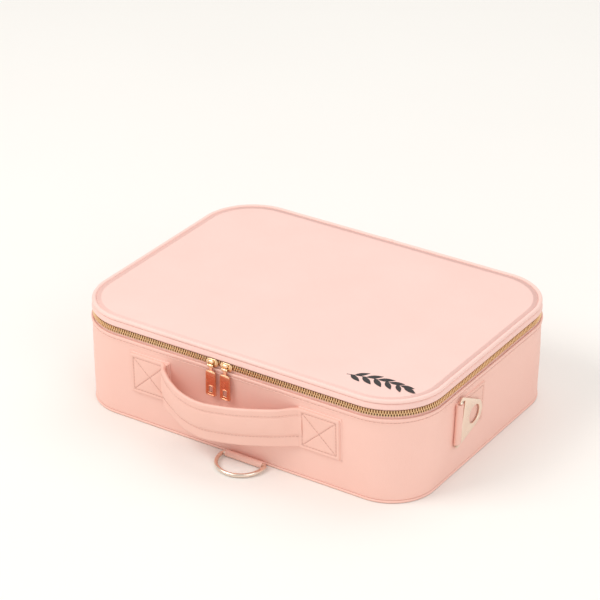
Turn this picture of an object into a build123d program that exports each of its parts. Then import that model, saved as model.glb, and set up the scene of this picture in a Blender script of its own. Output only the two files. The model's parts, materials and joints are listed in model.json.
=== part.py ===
from build123d import *
from math import atan2, cos, degrees, radians, sin
import os

# Soft-sided train case for make-up. Origin at the centre of the underside, +X to the right
# along the front, +Y to the back, +Z up. All sizes are in millimetres.

# Overall shape
case_length = 400.0
case_depth = 300.0
top_corner = 60.0  # plan radius at the zip line
base_corner = 49.0  # plan radius at the underside
wall_lean = 3.6  # how far each wall leans in from the top edge to the underside
fold_height = 92.8  # top edge of the body wall
zip_height = 98.3  # middle of the closed zip
piping_height = 110.4  # middle of the piping round the lid
piping_radius = 2.2
piping_inset = 3.5  # piping centreline, in from the widest line
glue_line = 0.05  # between glued layers
cut_margin = 1.0  # how far a cutting body runs past the faces that it cuts

# Body wall, from the outside in
cover_inset = 1.2
cover_thickness = 1.2
hem_height = 6.0
board_below_edge = 2.0  # the board stops this far below the top edge
lining_below_edge = 1.0
tape_inset = 2.5
tape_thickness = 0.8
tape_depth = 9.0  # tape sewn in below the top edge
wall_board_thickness = 3.5
lining_thickness = 0.8

# Base
base_cover_thickness = 1.0
base_board_thickness = 3.0
welt_bottom = 0.3
welt_top = 3.0
welt_proud = 0.8
welt_width = 2.0

# Zip
tooth_inset = 1.7
tooth_thickness = 2.4
tooth_height = 3.05
tooth_gap = 0.1
zip_end_x = 146.0  # the chain stops here on the back
stop_length = 4.0
stop_proud = 0.4

# Lid
band_inset = 1.3
band_thickness = 1.15
band_above_zip = 4.4  # from the middle of the zip up to the band
rim_board_thickness = 2.5
rim_clearance = 0.2
lid_board_thickness = 2.4
lid_foam_thickness = 2.4
lid_cover_thickness = 1.4
lid_lining_thickness = 0.8
lid_top_below_piping = 0.2  # the panel lies a little below the top of the piping
tape_below_piping = 1.0

# Brush holder inside the lid
brush_length = 300.0
brush_depth = 180.0
brush_thickness = 1.6
elastic_width = 36.0
elastic_thickness = 1.0
elastic_spacing = 92.0
flap_thickness = 0.7
flap_clearance = 0.3
brush_corner = 12.0
elastic_end_gap = 10.0  # from each end of an elastic band to the panel edge

# Dividers
divider_thickness = 6.0
divider_height = 66.0
divider_fit = 0.3
long_divider_y = 14.0
short_divider_x = 62.0

# Handle on the front
handle_height = 58.0
handle_span = 152.0  # between the two sewn patches
patch_length = 46.0
patch_height = 44.0
patch_thickness = 2.0
backing_thickness = 1.0
backing_margin = 1.5
grip_width = 44.0
grip_left_x = -58.0  # the grip swings as one piece between these two places
grip_left_out = 22.0
grip_right_x = 40.0
grip_right_out = 21.5
grip_bow_x = -14.0  # it bows out furthest a little to the left
grip_bow_out = 36.5
grip_thickness = 2.6
grip_lining_thickness = 1.4
grip_droop = 6.0  # degrees that the grip hangs below level
ramp_clearance = 0.4
ramp_foot_out = 3.2

# Zip sliders and pulls
slider_left_x = -23.5
slider_right_x = -7.0
slider_length = 13.0
slider_height = 8.2
slider_below_zip = 4.2
slider_plate = 1.4
slider_clearance = 0.3
slider_corner = 2.4
lug_rim = 0.9  # metal round the pin in each lug
pin_radius = 0.9
pin_out = 2.3  # pin centreline, in front of the slider's plate
pin_above = 1.9  # pin centreline, above the slider's bottom edge
running_clearance = 0.08
pull_length = 33.0
pull_width = 12.0
pull_thickness = 1.8
pull_eye_wall = 0.9
pull_eye_length = 3.4
pull_neck = 5.0
lug_thickness = 1.3
lug_clearance = 0.15
window_length = 6.4
window_width = 4.6
window_from_end = 4.0
window_corner = 1.0
pull_corner = 2.5

# D-ring and its tab at the bottom of the front
ring_x = 14.5
ring_wire = 2.0
ring_width = 50.0  # between the centrelines of its legs
ring_leg = 4.5
ring_corner = 3.0
ring_out = 6.0  # bar centreline, in front of the welt
ring_tab_width = 43.0
ring_tab_ply = 1.2
ring_tilt = 2.1  # degrees, so that the bow lies on the ground

# Shoulder strap plates at the two ends
plate_y = -63.0
plate_height = 59.5
plate_thickness = 2.0
plate_bar = 2.0
plate_span = 54.0  # across the bar end
plate_reach = 45.0  # bar to the tip
plate_tip_radius = 14.5
plate_corner = 5.0
plate_arm = 4.2
plate_slot = 5.4
plate_hole = 9.75
plate_hole_at = 30.0
plate_droop = 6.0
side_tab_length = 53.0
side_tab_height = 44.0
side_tab_ply = 1.3

# Places worked out from the sizes above
half_length = case_length / 2
half_depth = case_depth / 2
tape_inner = tape_inset + tape_thickness
board_outer = tape_inner + glue_line
board_inner = board_outer + wall_board_thickness
lining_outer = board_inner + glue_line
lining_inner = lining_outer + lining_thickness
base_inset = cover_inset + cover_thickness + glue_line
base_board_top = base_cover_thickness + base_board_thickness
floor_height = base_board_top + lining_thickness
teeth_low = zip_height - tooth_gap / 2 - tooth_height
teeth_high = zip_height + tooth_gap / 2 + tooth_height
piping_bottom = piping_height - piping_radius
lid_cover_top = piping_height + piping_radius - lid_top_below_piping
lid_cover_bottom = lid_cover_top - lid_cover_thickness
foam_bottom = lid_cover_bottom - lid_foam_thickness
lid_board_bottom = foam_bottom - lid_board_thickness
panel_edge = piping_inset + piping_radius + glue_line
rim_outer = tape_inner + glue_line
rim_inner = rim_outer + rim_board_thickness
lean_angle = degrees(atan2(wall_lean, fold_height))
band_bottom = zip_height + band_above_zip
rim_bottom = band_bottom + rim_clearance
slider_bottom = zip_height - slider_below_zip


def leanAt(z):
    # how far the wall stands inside the widest line at a height
    return wall_lean * (1 - z / fold_height)


def cornerAt(z):
    return base_corner + (top_corner - base_corner) * z / fold_height


def wallOutline(inset, z):
    # plan of the leaning wall, a distance in from its outer face line
    gap = inset + leanAt(z)
    radius = cornerAt(z) - inset
    return Pos(0, 0, z) * RectangleRounded(case_length - 2 * gap, case_depth - 2 * gap, radius)


def wallSolid(inset, low, high):
    return loft([wallOutline(inset, low), wallOutline(inset, high)], ruled=True)


def wallRing(outer, inner, low, high):
    return wallSolid(outer, low, high) - wallSolid(inner, low - cut_margin, high + cut_margin)


def lidOutline(inset):
    return RectangleRounded(case_length - 2 * inset, case_depth - 2 * inset, top_corner - inset)


def lidSlab(inset, low, high):
    return Pos(0, 0, low) * extrude(lidOutline(inset), high - low)


def lidRing(outer, inner, low, high):
    return Pos(0, 0, low) * extrude(lidOutline(outer) - lidOutline(inner), high - low)


def block(x0, x1, y0, y1, z0, z1):
    return Pos((x0 + x1) / 2, (y0 + y1) / 2, (z0 + z1) / 2) * Box(x1 - x0, y1 - y0, z1 - z0)


def backBlock(half_width, low, high):
    return block(-half_width, half_width, 0, case_depth, low, high)


def makeBase():
    welt_inset = cover_inset - welt_proud
    return {
        "base_cover": wallSolid(base_inset, 0, base_cover_thickness),
        "base_board": wallSolid(base_inset, base_cover_thickness, base_board_top),
        "base_lining": wallSolid(lining_outer, base_board_top, floor_height),
        "base_welt": wallRing(welt_inset, welt_inset + welt_width, welt_bottom, welt_top),
    }


def makeWalls():
    cover = wallRing(cover_inset, cover_inset + cover_thickness, welt_top, fold_height)
    hem = wallRing(0, cover_inset + cover_thickness, fold_height - hem_height, fold_height)
    return {
        "wall_cover": cover + hem,
        "wall_board": wallRing(board_outer, board_inner, base_board_top, fold_height - board_below_edge),
        "wall_lining": wallRing(lining_outer, lining_inner, floor_height, fold_height - lining_below_edge),
    }


def makeZip():
    # two half chains, open on the back between the zip's ends
    tape_low = fold_height - tape_depth
    lower_tape = wallRing(tape_inset, tape_inner, tape_low, teeth_low)
    upper_tape = lidRing(tape_inset, tape_inner, teeth_high, piping_bottom - tape_below_piping)
    tooth_inner = tooth_inset + tooth_thickness
    lower_teeth = lidRing(tooth_inset, tooth_inner, teeth_low, zip_height - tooth_gap / 2)
    upper_teeth = lidRing(tooth_inset, tooth_inner, zip_height + tooth_gap / 2, teeth_high)
    gap = backBlock(zip_end_x, 0, 2 * piping_height)
    stop_zone = backBlock(zip_end_x + stop_length, 0, 2 * piping_height) - gap
    stop_outer = tooth_inset - stop_proud
    stop_inner = tooth_inner + stop_proud
    lower_stops = lidRing(stop_outer, stop_inner, teeth_low, zip_height - tooth_gap / 2)
    upper_stops = lidRing(stop_outer, stop_inner, zip_height + tooth_gap / 2, teeth_high)
    chain_gap = gap + stop_zone
    return {
        "zip_tape_lower": lower_tape - gap,
        "zip_tape_upper": upper_tape - gap,
        "zip_teeth_lower": lower_teeth - chain_gap,
        "zip_teeth_upper": upper_teeth - chain_gap,
        "zip_stops_lower": lower_stops & stop_zone,
        "zip_stops_upper": upper_stops & stop_zone,
    }


def makeGusset():
    # one strip of cover material, folded along the zip line, shown as its two halves
    half_width = zip_end_x - cut_margin
    low = fold_height - tape_depth
    fold = tooth_gap / 2
    lower = wallRing(tape_inset, tape_inner, low, fold_height)
    lower += lidRing(tape_inset, tape_inner, fold_height, zip_height - fold)
    upper = lidRing(tape_inset, tape_inner, zip_height + fold, piping_bottom - tape_below_piping)
    return {
        "hinge_gusset_lower": lower & backBlock(half_width, 0, zip_height),
        "hinge_gusset_upper": upper & backBlock(half_width, zip_height, 2 * piping_height),
    }


def makePiping():
    outline = Pos(0, 0, piping_height) * lidOutline(piping_inset)
    path = outline.face().outer_wire()
    start = path @ 0
    section = Plane(origin=start, z_dir=path % 0) * Circle(piping_radius)
    return sweep(section, path=path)


def makeLid():
    tray_top = lid_board_bottom
    tray = lidSlab(rim_inner + glue_line, rim_bottom, tray_top)
    inside = rim_inner + glue_line + lid_lining_thickness
    tray -= lidSlab(inside, rim_bottom - cut_margin, tray_top - lid_lining_thickness)
    return {
        "lid_band_cover": lidRing(
            band_inset, band_inset + band_thickness, band_bottom, piping_bottom - glue_line
        ),
        "lid_rim_board": lidRing(rim_outer, rim_inner, rim_bottom, piping_bottom - glue_line),
        "lid_board": lidSlab(rim_inner + glue_line, lid_board_bottom, foam_bottom),
        "lid_foam": lidSlab(panel_edge, max(foam_bottom, piping_bottom), lid_cover_bottom),
        "lid_top_cover": lidSlab(panel_edge, lid_cover_bottom, lid_cover_top),
        "lid_piping": makePiping(),
        "lid_lining": tray,
    }


def makeBrushHolder():
    # padded panel under the lid, elastic bands across it and a dust flap below them
    ceiling = lid_board_bottom - lid_lining_thickness
    panel_low = ceiling - brush_thickness
    elastic_low = panel_low - elastic_thickness
    flap_high = elastic_low - flap_clearance
    bands = Part()
    for row in (-1, 1):
        place = Pos(0, row * elastic_spacing / 2, (panel_low + elastic_low) / 2)
        bands += place * Box(brush_length - 2 * elastic_end_gap, elastic_width, elastic_thickness)
    flap = block(
        -brush_length / 2, brush_length / 2, -brush_depth / 2, brush_depth / 2,
        flap_high - flap_thickness, flap_high,
    )
    hem = block(
        -brush_length / 2, brush_length / 2, brush_depth / 2 - 4, brush_depth / 2,
        flap_high, panel_low,
    )
    panel = Pos(0, 0, panel_low) * extrude(
        RectangleRounded(brush_length, brush_depth, brush_corner), brush_thickness
    )
    return {"brush_panel": panel, "brush_elastic": bands, "brush_flap": flap + hem}


def makeDividers():
    room = wallSolid(lining_inner + divider_fit, floor_height, floor_height + divider_height)
    half = divider_thickness / 2
    top = floor_height + divider_height
    made = {
        "divider_long": room & block(
            -case_length, case_length, long_divider_y - half, long_divider_y + half,
            floor_height, top,
        )
    }
    for side, sign in (("left", -1), ("right", 1)):
        x = sign * short_divider_x
        made["divider_front_" + side] = room & block(
            x - half, x + half, -case_depth, long_divider_y - half - divider_fit,
            floor_height, top,
        )
        made["divider_back_" + side] = room & block(
            x - half, x + half, long_divider_y + half + divider_fit, case_depth,
            floor_height, top,
        )
    return made


def frontPlane():
    # on the front wall at the handle's height, looking straight out of the leaning wall
    out = half_depth - cover_inset - leanAt(handle_height)
    lean = radians(lean_angle)
    return Plane(
        origin=(0, -out, handle_height), x_dir=(1, 0, 0), z_dir=(0, -cos(lean), -sin(lean))
    )


def gripStrap(near, far):
    # the bowed middle of the handle, between two distances inside its outer face
    left = Vector(grip_left_x, grip_left_out)
    bow = Vector(grip_bow_x, grip_bow_out)
    right = Vector(grip_right_x, grip_right_out)
    outer_arc = ThreePointArc(left, bow, right)
    centre = outer_arc.arc_center
    radius = outer_arc.radius
    ring = Pos(centre) * (Circle(radius - near) - Circle(radius - far))
    wedge = make_hull(
        Polyline(
            centre, centre + 2 * (left - centre), centre + 4 * (bow - centre),
            centre + 2 * (right - centre), close=True,
        ).edges()
    )
    lying = extrude(ring & wedge, grip_width / 2, both=True)
    # plan y becomes the way out of the wall, and the extrusion becomes the strap's width
    standing = Rot(90, 0, 0) * lying
    return Rot(grip_droop, 0, 0) * standing


def makeHandle():
    wall = frontPlane()
    made = {}
    grip_total = grip_thickness + grip_lining_thickness
    made["handle_grip"] = wall.location * gripStrap(0, grip_thickness)
    made["handle_grip_lining"] = wall.location * gripStrap(
        grip_thickness + glue_line, grip_total
    )
    droop = radians(-grip_droop)
    ends = (("left", -1, grip_left_x, grip_left_out), ("right", 1, grip_right_x, grip_right_out))
    for side, sign, end_x, end_out in ends:
        middle = sign * (handle_span + patch_length) / 2
        backing = Pos(middle, 0, backing_thickness / 2) * Box(
            patch_length + 2 * backing_margin, patch_height + 2 * backing_margin,
            backing_thickness,
        )
        patch = Pos(middle, 0, backing_thickness + patch_thickness / 2) * Box(
            patch_length, patch_height, patch_thickness
        )
        foot_x = sign * (handle_span / 2 - backing_margin - ramp_clearance)
        foot = Pos(foot_x, 0, ramp_foot_out) * Rot(0, 90, 0) * Rectangle(
            grip_total, grip_width
        )
        head_x = end_x + sign * ramp_clearance
        out = end_out - grip_total / 2
        head = Pos(head_x, out * sin(droop), out * cos(droop)) * Rot(grip_droop, 0, 0)
        head = head * Rot(0, 90, 0) * Rectangle(grip_total, grip_width)
        ramp = loft([foot, head], ruled=True)
        made["handle_backing_" + side] = wall.location * backing
        made["handle_patch_" + side] = wall.location * patch
        made["handle_ramp_" + side] = wall.location * ramp
    return made


def makeSlider(x):
    # front plate over the chain, two lugs and the pin that the pull hangs on
    face = -(half_depth - tooth_inset) - slider_clearance
    front = face - slider_plate
    plate = Pos(x, (face + front) / 2, slider_bottom + slider_height / 2) * Box(
        slider_length, slider_plate, slider_height
    )
    upright = plate.edges().filter_by(Axis.Y)
    plate = fillet(upright, slider_corner)
    pin_y = front - pin_out
    pin_z = slider_bottom + pin_above
    eye_half = pull_eye_length / 2 + lug_clearance
    lug_out = pin_radius + lug_rim
    for sign in (-1, 1):
        lug = Pos(x + sign * (eye_half + lug_thickness / 2), pin_y, pin_z) * Rot(0, 90, 0)
        boss = lug * Cylinder(lug_out, lug_thickness)
        arm = Pos(x + sign * (eye_half + lug_thickness / 2), (pin_y + front) / 2, pin_z) * Box(
            lug_thickness, abs(pin_y - front), 2 * lug_out
        )
        plate += boss + arm
    pin = Pos(x, pin_y, pin_z) * Rot(0, 90, 0) * Cylinder(pin_radius, 2 * eye_half + lug_thickness)
    return plate + pin


def makePull(x):
    face = -(half_depth - tooth_inset) - slider_clearance - slider_plate
    pin_y = face - pin_out
    pin_z = slider_bottom + pin_above
    eye_radius = pin_radius + running_clearance + pull_eye_wall
    eye = Rot(0, 90, 0) * Cylinder(eye_radius, pull_eye_length)
    neck = Pos(0, 0, -pull_neck / 2) * Box(pull_eye_length, pull_thickness, pull_neck)
    body_length = pull_length - pull_neck
    plan = Rectangle(pull_width, body_length)
    plan = fillet(plan.vertices(), pull_corner)
    window = Pos(0, -body_length / 2 + window_from_end + window_length / 2) * RectangleRounded(
        window_width, window_length, window_corner
    )
    tag = extrude(plan - window, pull_thickness / 2, both=True)
    tag = Pos(0, 0, -pull_neck - body_length / 2) * Rot(90, 0, 0) * tag
    bore = Rot(0, 90, 0) * Cylinder(pin_radius + running_clearance, 2 * pull_eye_length)
    return Pos(x, pin_y, pin_z) * (eye + neck + tag - bore)


def ringBar():
    # where the D-ring's bar lies
    welt_front = -(half_depth - cover_inset + welt_proud - leanAt(welt_top))
    height = welt_bottom + ring_wire + running_clearance + ring_tab_ply
    return welt_front, welt_front - ring_out, height


def makeRing():
    welt_front, bar_y, bar_z = ringBar()
    half = ring_width / 2
    straight = half - ring_corner
    bar = Line((-straight, 0), (straight, 0))
    corner_right = JernArc(bar @ 1, (1, 0), ring_corner, -90)
    leg_right = Line(corner_right @ 1, (half, -ring_leg))
    bow = JernArc(leg_right @ 1, (0, -1), half, -180)
    leg_left = Line(bow @ 1, (-half, -ring_corner))
    corner_left = JernArc(leg_left @ 1, (0, 1), ring_corner, -90)
    path = Wire([bar, corner_right, leg_right, bow, leg_left, corner_left])
    section = Plane(origin=path @ 0, z_dir=path % 0) * Circle(ring_wire)
    ring = sweep(section, path=path)
    placed = Pos(ring_x, bar_y, bar_z) * Rot(ring_tilt, 0, 0) * ring
    outer = ring_wire + running_clearance + ring_tab_ply
    loop = Rot(0, 90, 0) * Cylinder(outer, ring_tab_width)
    strip = Pos(0, ring_out / 2, -outer + ring_tab_ply) * Box(
        ring_tab_width, ring_out, 2 * ring_tab_ply
    )
    bore = Rot(0, 90, 0) * Cylinder(ring_wire + running_clearance, 2 * ring_tab_width)
    tab = Pos(ring_x, bar_y, bar_z) * (loop + strip - bore)
    return {"d_ring": placed, "d_ring_tab": tab}


def sidePlane():
    # on the right-hand wall at the strap plate's bar, local x to the back and local y up
    out = half_length - cover_inset - leanAt(plate_height)
    lean = radians(lean_angle)
    return Plane(
        origin=(out, plate_y, plate_height), x_dir=(0, 1, 0), z_dir=(cos(lean), 0, -sin(lean))
    )


def plateOutline():
    # rounded triangle with its wide end at the bar
    half = plate_span / 2
    wide = make_hull(
        [
            (Pos(plate_corner - plate_bar, half - plate_corner) * Circle(plate_corner)).edge(),
            (Pos(plate_corner - plate_bar, plate_corner - half) * Circle(plate_corner)).edge(),
            (Pos(plate_reach - plate_tip_radius, 0) * Circle(plate_tip_radius)).edge(),
        ]
    )
    slot_half = half - plate_arm
    slot = Pos(plate_slot / 2, 0) * Rectangle(
        plate_slot + 2 * plate_bar, 2 * slot_half
    )
    hole = Pos(plate_hole_at, 0) * Circle(plate_hole)
    return wide - slot - hole


def makeSideFittings():
    wall = sidePlane()
    loop_outer = plate_bar + running_clearance + side_tab_ply
    droop = Rot(0, 0, -plate_droop)
    lift = Pos(0, 0, loop_outer)
    slot_half = plate_span / 2 - plate_arm
    bar = Rot(90, 0, 0) * Cylinder(plate_bar, 2 * slot_half + 2)
    body = extrude(plateOutline(), plate_thickness / 2, both=True)
    plate = lift * droop * (body + bar)
    loop = Rot(90, 0, 0) * Cylinder(loop_outer, side_tab_height)
    bore = Rot(90, 0, 0) * Cylinder(plate_bar + running_clearance, 2 * side_tab_height)
    patch = Pos(side_tab_length / 2, 0, side_tab_ply / 2) * Box(
        side_tab_length, side_tab_height, side_tab_ply
    )
    tab = patch + lift * droop * loop
    tab -= lift * droop * bore
    keep = Pos(side_tab_length / 2, 0, side_tab_length) * Box(
        4 * side_tab_length, 4 * side_tab_height, 2 * side_tab_length
    )
    right_tab = wall.location * (tab & keep)
    right_plate = wall.location * plate
    return {
        "strap_tab_right": right_tab,
        "strap_tab_left": mirror(right_tab, about=Plane.YZ),
        "strap_plate_right": right_plate,
        "strap_plate_left": mirror(right_plate, about=Plane.YZ),
    }


def makeAll():
    made = {}
    made.update(makeBase())
    made.update(makeWalls())
    made.update(makeZip())
    made.update(makeGusset())
    made.update(makeLid())
    made.update(makeBrushHolder())
    made.update(makeDividers())
    made.update(makeHandle())
    for side, x in (("left", slider_left_x), ("right", slider_right_x)):
        made["slider_" + side] = makeSlider(x)
        made["pull_" + side] = makePull(x)
    made.update(makeRing())
    made.update(makeSideFittings())
    return made


if __name__ == "__main__":
    os.makedirs("parts", exist_ok=True)
    for name, shape in makeAll().items():
        export_step(shape, "parts/" + name + ".step")
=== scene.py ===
import json
import math
import random

import bpy
import bmesh
import numpy as np
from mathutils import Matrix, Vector, noise
from mathutils.bvhtree import BVHTree


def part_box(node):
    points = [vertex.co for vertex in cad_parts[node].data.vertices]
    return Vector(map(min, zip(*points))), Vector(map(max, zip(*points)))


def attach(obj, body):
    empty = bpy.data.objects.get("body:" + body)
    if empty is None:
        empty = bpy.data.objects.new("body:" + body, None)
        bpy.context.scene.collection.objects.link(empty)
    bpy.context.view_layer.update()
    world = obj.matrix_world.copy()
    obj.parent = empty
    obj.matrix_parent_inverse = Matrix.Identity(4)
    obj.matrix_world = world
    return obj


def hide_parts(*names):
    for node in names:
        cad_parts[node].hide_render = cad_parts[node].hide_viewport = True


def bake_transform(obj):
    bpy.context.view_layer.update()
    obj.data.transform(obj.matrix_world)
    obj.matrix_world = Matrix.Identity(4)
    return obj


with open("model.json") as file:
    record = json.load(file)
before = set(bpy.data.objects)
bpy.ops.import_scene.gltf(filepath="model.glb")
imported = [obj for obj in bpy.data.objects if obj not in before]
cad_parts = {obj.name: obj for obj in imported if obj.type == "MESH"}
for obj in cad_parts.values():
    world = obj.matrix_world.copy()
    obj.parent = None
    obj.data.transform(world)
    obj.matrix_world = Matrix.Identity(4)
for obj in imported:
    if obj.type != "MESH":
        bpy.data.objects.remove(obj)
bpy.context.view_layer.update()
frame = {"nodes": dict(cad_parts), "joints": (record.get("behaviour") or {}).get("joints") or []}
random.seed(7)
mm = 0.001

coverLow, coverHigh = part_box("wall_cover")
bandLow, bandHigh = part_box("lid_band_cover")
pipingLow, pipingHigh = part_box("lid_piping")
topLow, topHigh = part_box("lid_top_cover")
weltLow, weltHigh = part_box("base_welt")
teethLow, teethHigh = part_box("zip_teeth_lower")
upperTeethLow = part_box("zip_teeth_upper")[0]
hinge = {j["name"]: j for j in frame["joints"]}

caseShape = {
    "halfX": coverHigh.x,
    "halfY": coverHigh.y,
    "foldZ": coverHigh.z,
    "cornerTop": 60 * mm,
    "cornerBase": 49 * mm,
    "lean": 3.6 * mm,
    "ringStep": 1.6 * mm,
}


def finishMesh(name, verts, faces, material, body=None, smooth=True, sharp=None):
    mesh = bpy.data.meshes.new(name)
    mesh.from_pydata([tuple(v) for v in verts], [], [tuple(f) for f in faces])
    mesh.validate()
    mesh.update()
    obj = bpy.data.objects.new(name, mesh)
    bpy.context.scene.collection.objects.link(obj)
    if smooth:
        mesh.shade_smooth()
        if sharp is not None:
            mesh.set_sharp_from_angle(angle=math.radians(sharp))
    mesh.materials.append(material)
    if body is not None:
        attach(obj, body)
    return obj


def ringFaces(count, around, closed=False, capped=False):
    # quads between neighbouring rings of points, with a face over each end if capped
    faces = []
    for i in range(count if closed else count - 1):
        n = (i + 1) % count
        for a in range(around):
            b = (a + 1) % around
            faces.append((i * around + a, i * around + b, n * around + b, n * around + a))
    if capped:
        faces.append(tuple(reversed(range(around))))
        faces.append(tuple((count - 1) * around + a for a in range(around)))
    return faces


def ringSamples(step):
    # anticlockwise from the middle of the back, as a segment number and a share of it
    s = caseShape
    straightX = s["halfX"] - s["cornerTop"]
    straightY = 2 * (s["halfY"] - s["cornerTop"])
    arc = s["cornerTop"] * math.pi / 2
    lengths = [straightX, arc, straightY, arc, 2 * straightX, arc, straightY, arc, straightX]
    seg = []
    share = []
    for number, length in enumerate(lengths):
        count = max(2, round(length / step))
        for k in range(count):
            seg.append(number)
            share.append(k / count)
    return np.array(seg), np.array(share)


def ringPoints(seg, share, halfX, halfY, corner):
    cx = halfX - corner
    cy = halfY - corner
    pos = np.zeros((len(seg), 2))
    out = np.zeros((len(seg), 2))
    lines = {
        0: ((0, halfY), (-cx, halfY), (0, 1)),
        2: ((-halfX, cy), (-halfX, -cy), (-1, 0)),
        4: ((-cx, -halfY), (cx, -halfY), (0, -1)),
        6: ((halfX, -cy), (halfX, cy), (1, 0)),
        8: ((cx, halfY), (0, halfY), (0, 1)),
    }
    for number, (a, b, n) in lines.items():
        m = seg == number
        t = share[m][:, None]
        pos[m] = np.array(a) * (1 - t) + np.array(b) * t
        out[m] = n
    arcs = {1: (-cx, cy, 90), 3: (-cx, -cy, 180), 5: (cx, -cy, 270), 7: (cx, cy, 0)}
    for number, (x, y, start) in arcs.items():
        m = seg == number
        angle = np.radians(start + 90 * share[m])
        out[m] = np.stack([np.cos(angle), np.sin(angle)], axis=1)
        pos[m] = np.array((x, y)) + corner * out[m]
    return pos, out


def wallAt(z):
    # the wall's face line at a height: half sizes and corner radius
    s = caseShape
    share = min(max(z / s["foldZ"], 0), 1)
    lean = s["lean"] * (1 - share)
    corner = s["cornerBase"] + (s["cornerTop"] - s["cornerBase"]) * share
    return s["halfX"] - lean, s["halfY"] - lean, corner


def walkRing(length, z=None):
    # evenly spaced places along the outline at a height, with their outward and forward directions
    z = caseShape["foldZ"] if z is None else z
    halfX, halfY, corner = wallAt(z)
    arc = corner * math.pi / 2
    cx = halfX - corner
    cy = halfY - corner
    lengths = np.array([cx, arc, 2 * cy, arc, 2 * cx, arc, 2 * cy, arc, cx])
    ends = np.cumsum(lengths)
    count = int(ends[-1] / length)
    at = (np.arange(count) + 0.5) * ends[-1] / count
    seg = np.searchsorted(ends, at)
    share = (at - (ends - lengths)[seg]) / lengths[seg]
    pos, out = ringPoints(seg, share, halfX, halfY, corner)
    along = np.stack([-out[:, 1], out[:, 0]], axis=1)
    return pos, out, along


def sweepRing(name, profile, material, body, shift=None, step=None, keep=None, sharp=None):
    # a closed profile of (outward, height) points carried round the case
    seg, share = ringSamples(step or caseShape["ringStep"])
    layers = []
    for out, z in profile:
        halfX, halfY, corner = wallAt(z)
        pos, normal = ringPoints(seg, share, halfX, halfY, corner)
        move = out * np.ones(len(seg))
        height = z * np.ones(len(seg))
        if shift is not None:
            extraOut, extraUp = shift(pos, out, z)
            move = move + extraOut
            height = height + extraUp
        xy = pos + normal * move[:, None]
        layers.append(np.column_stack([xy, height]))
    grid = np.stack(layers, axis=1)
    rows, cols = grid.shape[:2]
    used = np.ones(rows, bool)
    if keep is not None:
        used = keep(grid[:, 0])
    faces = []
    for i in range(rows):
        nextRow = (i + 1) % rows
        if not (used[i] and used[nextRow]):
            continue
        for j in range(cols):
            nextCol = (j + 1) % cols
            faces.append((
                i * cols + j, i * cols + nextCol, nextRow * cols + nextCol, nextRow * cols + j
            ))
    verts = grid.reshape(-1, 3)
    if keep is not None:
        for i in range(rows):
            before = (i - 1) % rows
            if used[i] and not used[before]:
                faces.append(tuple(i * cols + j for j in range(cols)))
            if used[i] and not used[(i + 1) % rows]:
                faces.append(tuple(i * cols + j for j in reversed(range(cols))))
        index = -np.ones(len(verts), int)
        wanted = sorted({v for f in faces for v in f})
        index[wanted] = np.arange(len(wanted))
        verts = verts[wanted]
        faces = [tuple(index[list(f)]) for f in faces]
    return finishMesh(name, verts, faces, material, body, sharp=sharp)


def softStep(edge, width):
    # rises from 0 to 1 over a width, like the round of an edge
    turn = min(edge / width, 1)
    return math.sqrt(max(0, 1 - (1 - turn) ** 2))


def inMetres(rows, lift=0.0):
    # a profile drawn in millimetres, set at a height
    return [(out * mm, lift + up * mm) for out, up in rows]


def arcPoints(radius, start, end, count, cx=0.0, cy=0.0):
    # points round an arc, both ends kept, with the angles in degrees
    angles = [math.radians(start + (end - start) * k / count) for k in range(count + 1)]
    return [(cx + radius * math.cos(a), cy + radius * math.sin(a)) for a in angles]


def circleOutline(radius, cx=0.0, cy=0.0, count=48):
    angles = [2 * math.pi * k / count for k in range(count)]
    return [(cx + radius * math.cos(a), cy + radius * math.sin(a)) for a in angles]


def roundBox(sx, sy, sz, bevel, segments=2):
    # vertices and faces of one rounded block, centred, to be copied many times
    bm = bmesh.new()
    bmesh.ops.create_cube(bm, size=1)
    bmesh.ops.scale(bm, vec=(sx, sy, sz), verts=bm.verts)
    bmesh.ops.bevel(
        bm, geom=bm.edges[:], offset=bevel, segments=segments, profile=0.5, affect="EDGES"
    )
    bm.verts.ensure_lookup_table()
    verts = np.array([v.co for v in bm.verts])
    faces = [tuple(v.index for v in f.verts) for f in bm.faces]
    bm.free()
    return verts, faces


def capsule(length, radius, around=8, rings=3):
    # a stitch: a short rounded thread lying along x
    verts = []
    half = length / 2 - radius
    stations = []
    for k in range(rings + 1):
        angle = math.pi / 2 * k / rings
        stations.append((-half - radius * math.cos(angle), radius * math.sin(angle)))
    for k in range(rings + 1):
        angle = math.pi / 2 * k / rings
        stations.append((half + radius * math.sin(angle), radius * math.cos(angle)))
    stations = [s for s in stations if s[1] > 1e-7]
    for x, r in stations:
        for a in range(around):
            turn = 2 * math.pi * a / around
            verts.append((x, r * math.cos(turn), r * math.sin(turn)))
    faces = ringFaces(len(stations), around, capped=True)
    return np.array(verts), [tuple(reversed(f)) for f in faces]


def scatter(name, base, places, material, body, smooth=True, sharp=40):
    # copies of one small solid, each placed by a 4 by 4 matrix, joined into one piece
    verts, faces = base
    allVerts = []
    allFaces = []
    for number, place in enumerate(places):
        place = np.array(place)
        allVerts.append(verts @ place[:3, :3].T + place[:3, 3])
        offset = number * len(verts)
        allFaces.extend(tuple(offset + v for v in f) for f in faces)
    return finishMesh(
        name, np.concatenate(allVerts), allFaces, material, body, smooth=smooth, sharp=sharp
    )


def placeMatrix(origin, xDir=(1, 0, 0), yDir=(0, 1, 0), zDir=(0, 0, 1)):
    m = np.eye(4)
    m[:3, 0] = xDir
    m[:3, 1] = yDir
    m[:3, 2] = zDir
    m[:3, 3] = origin
    return m


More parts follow.
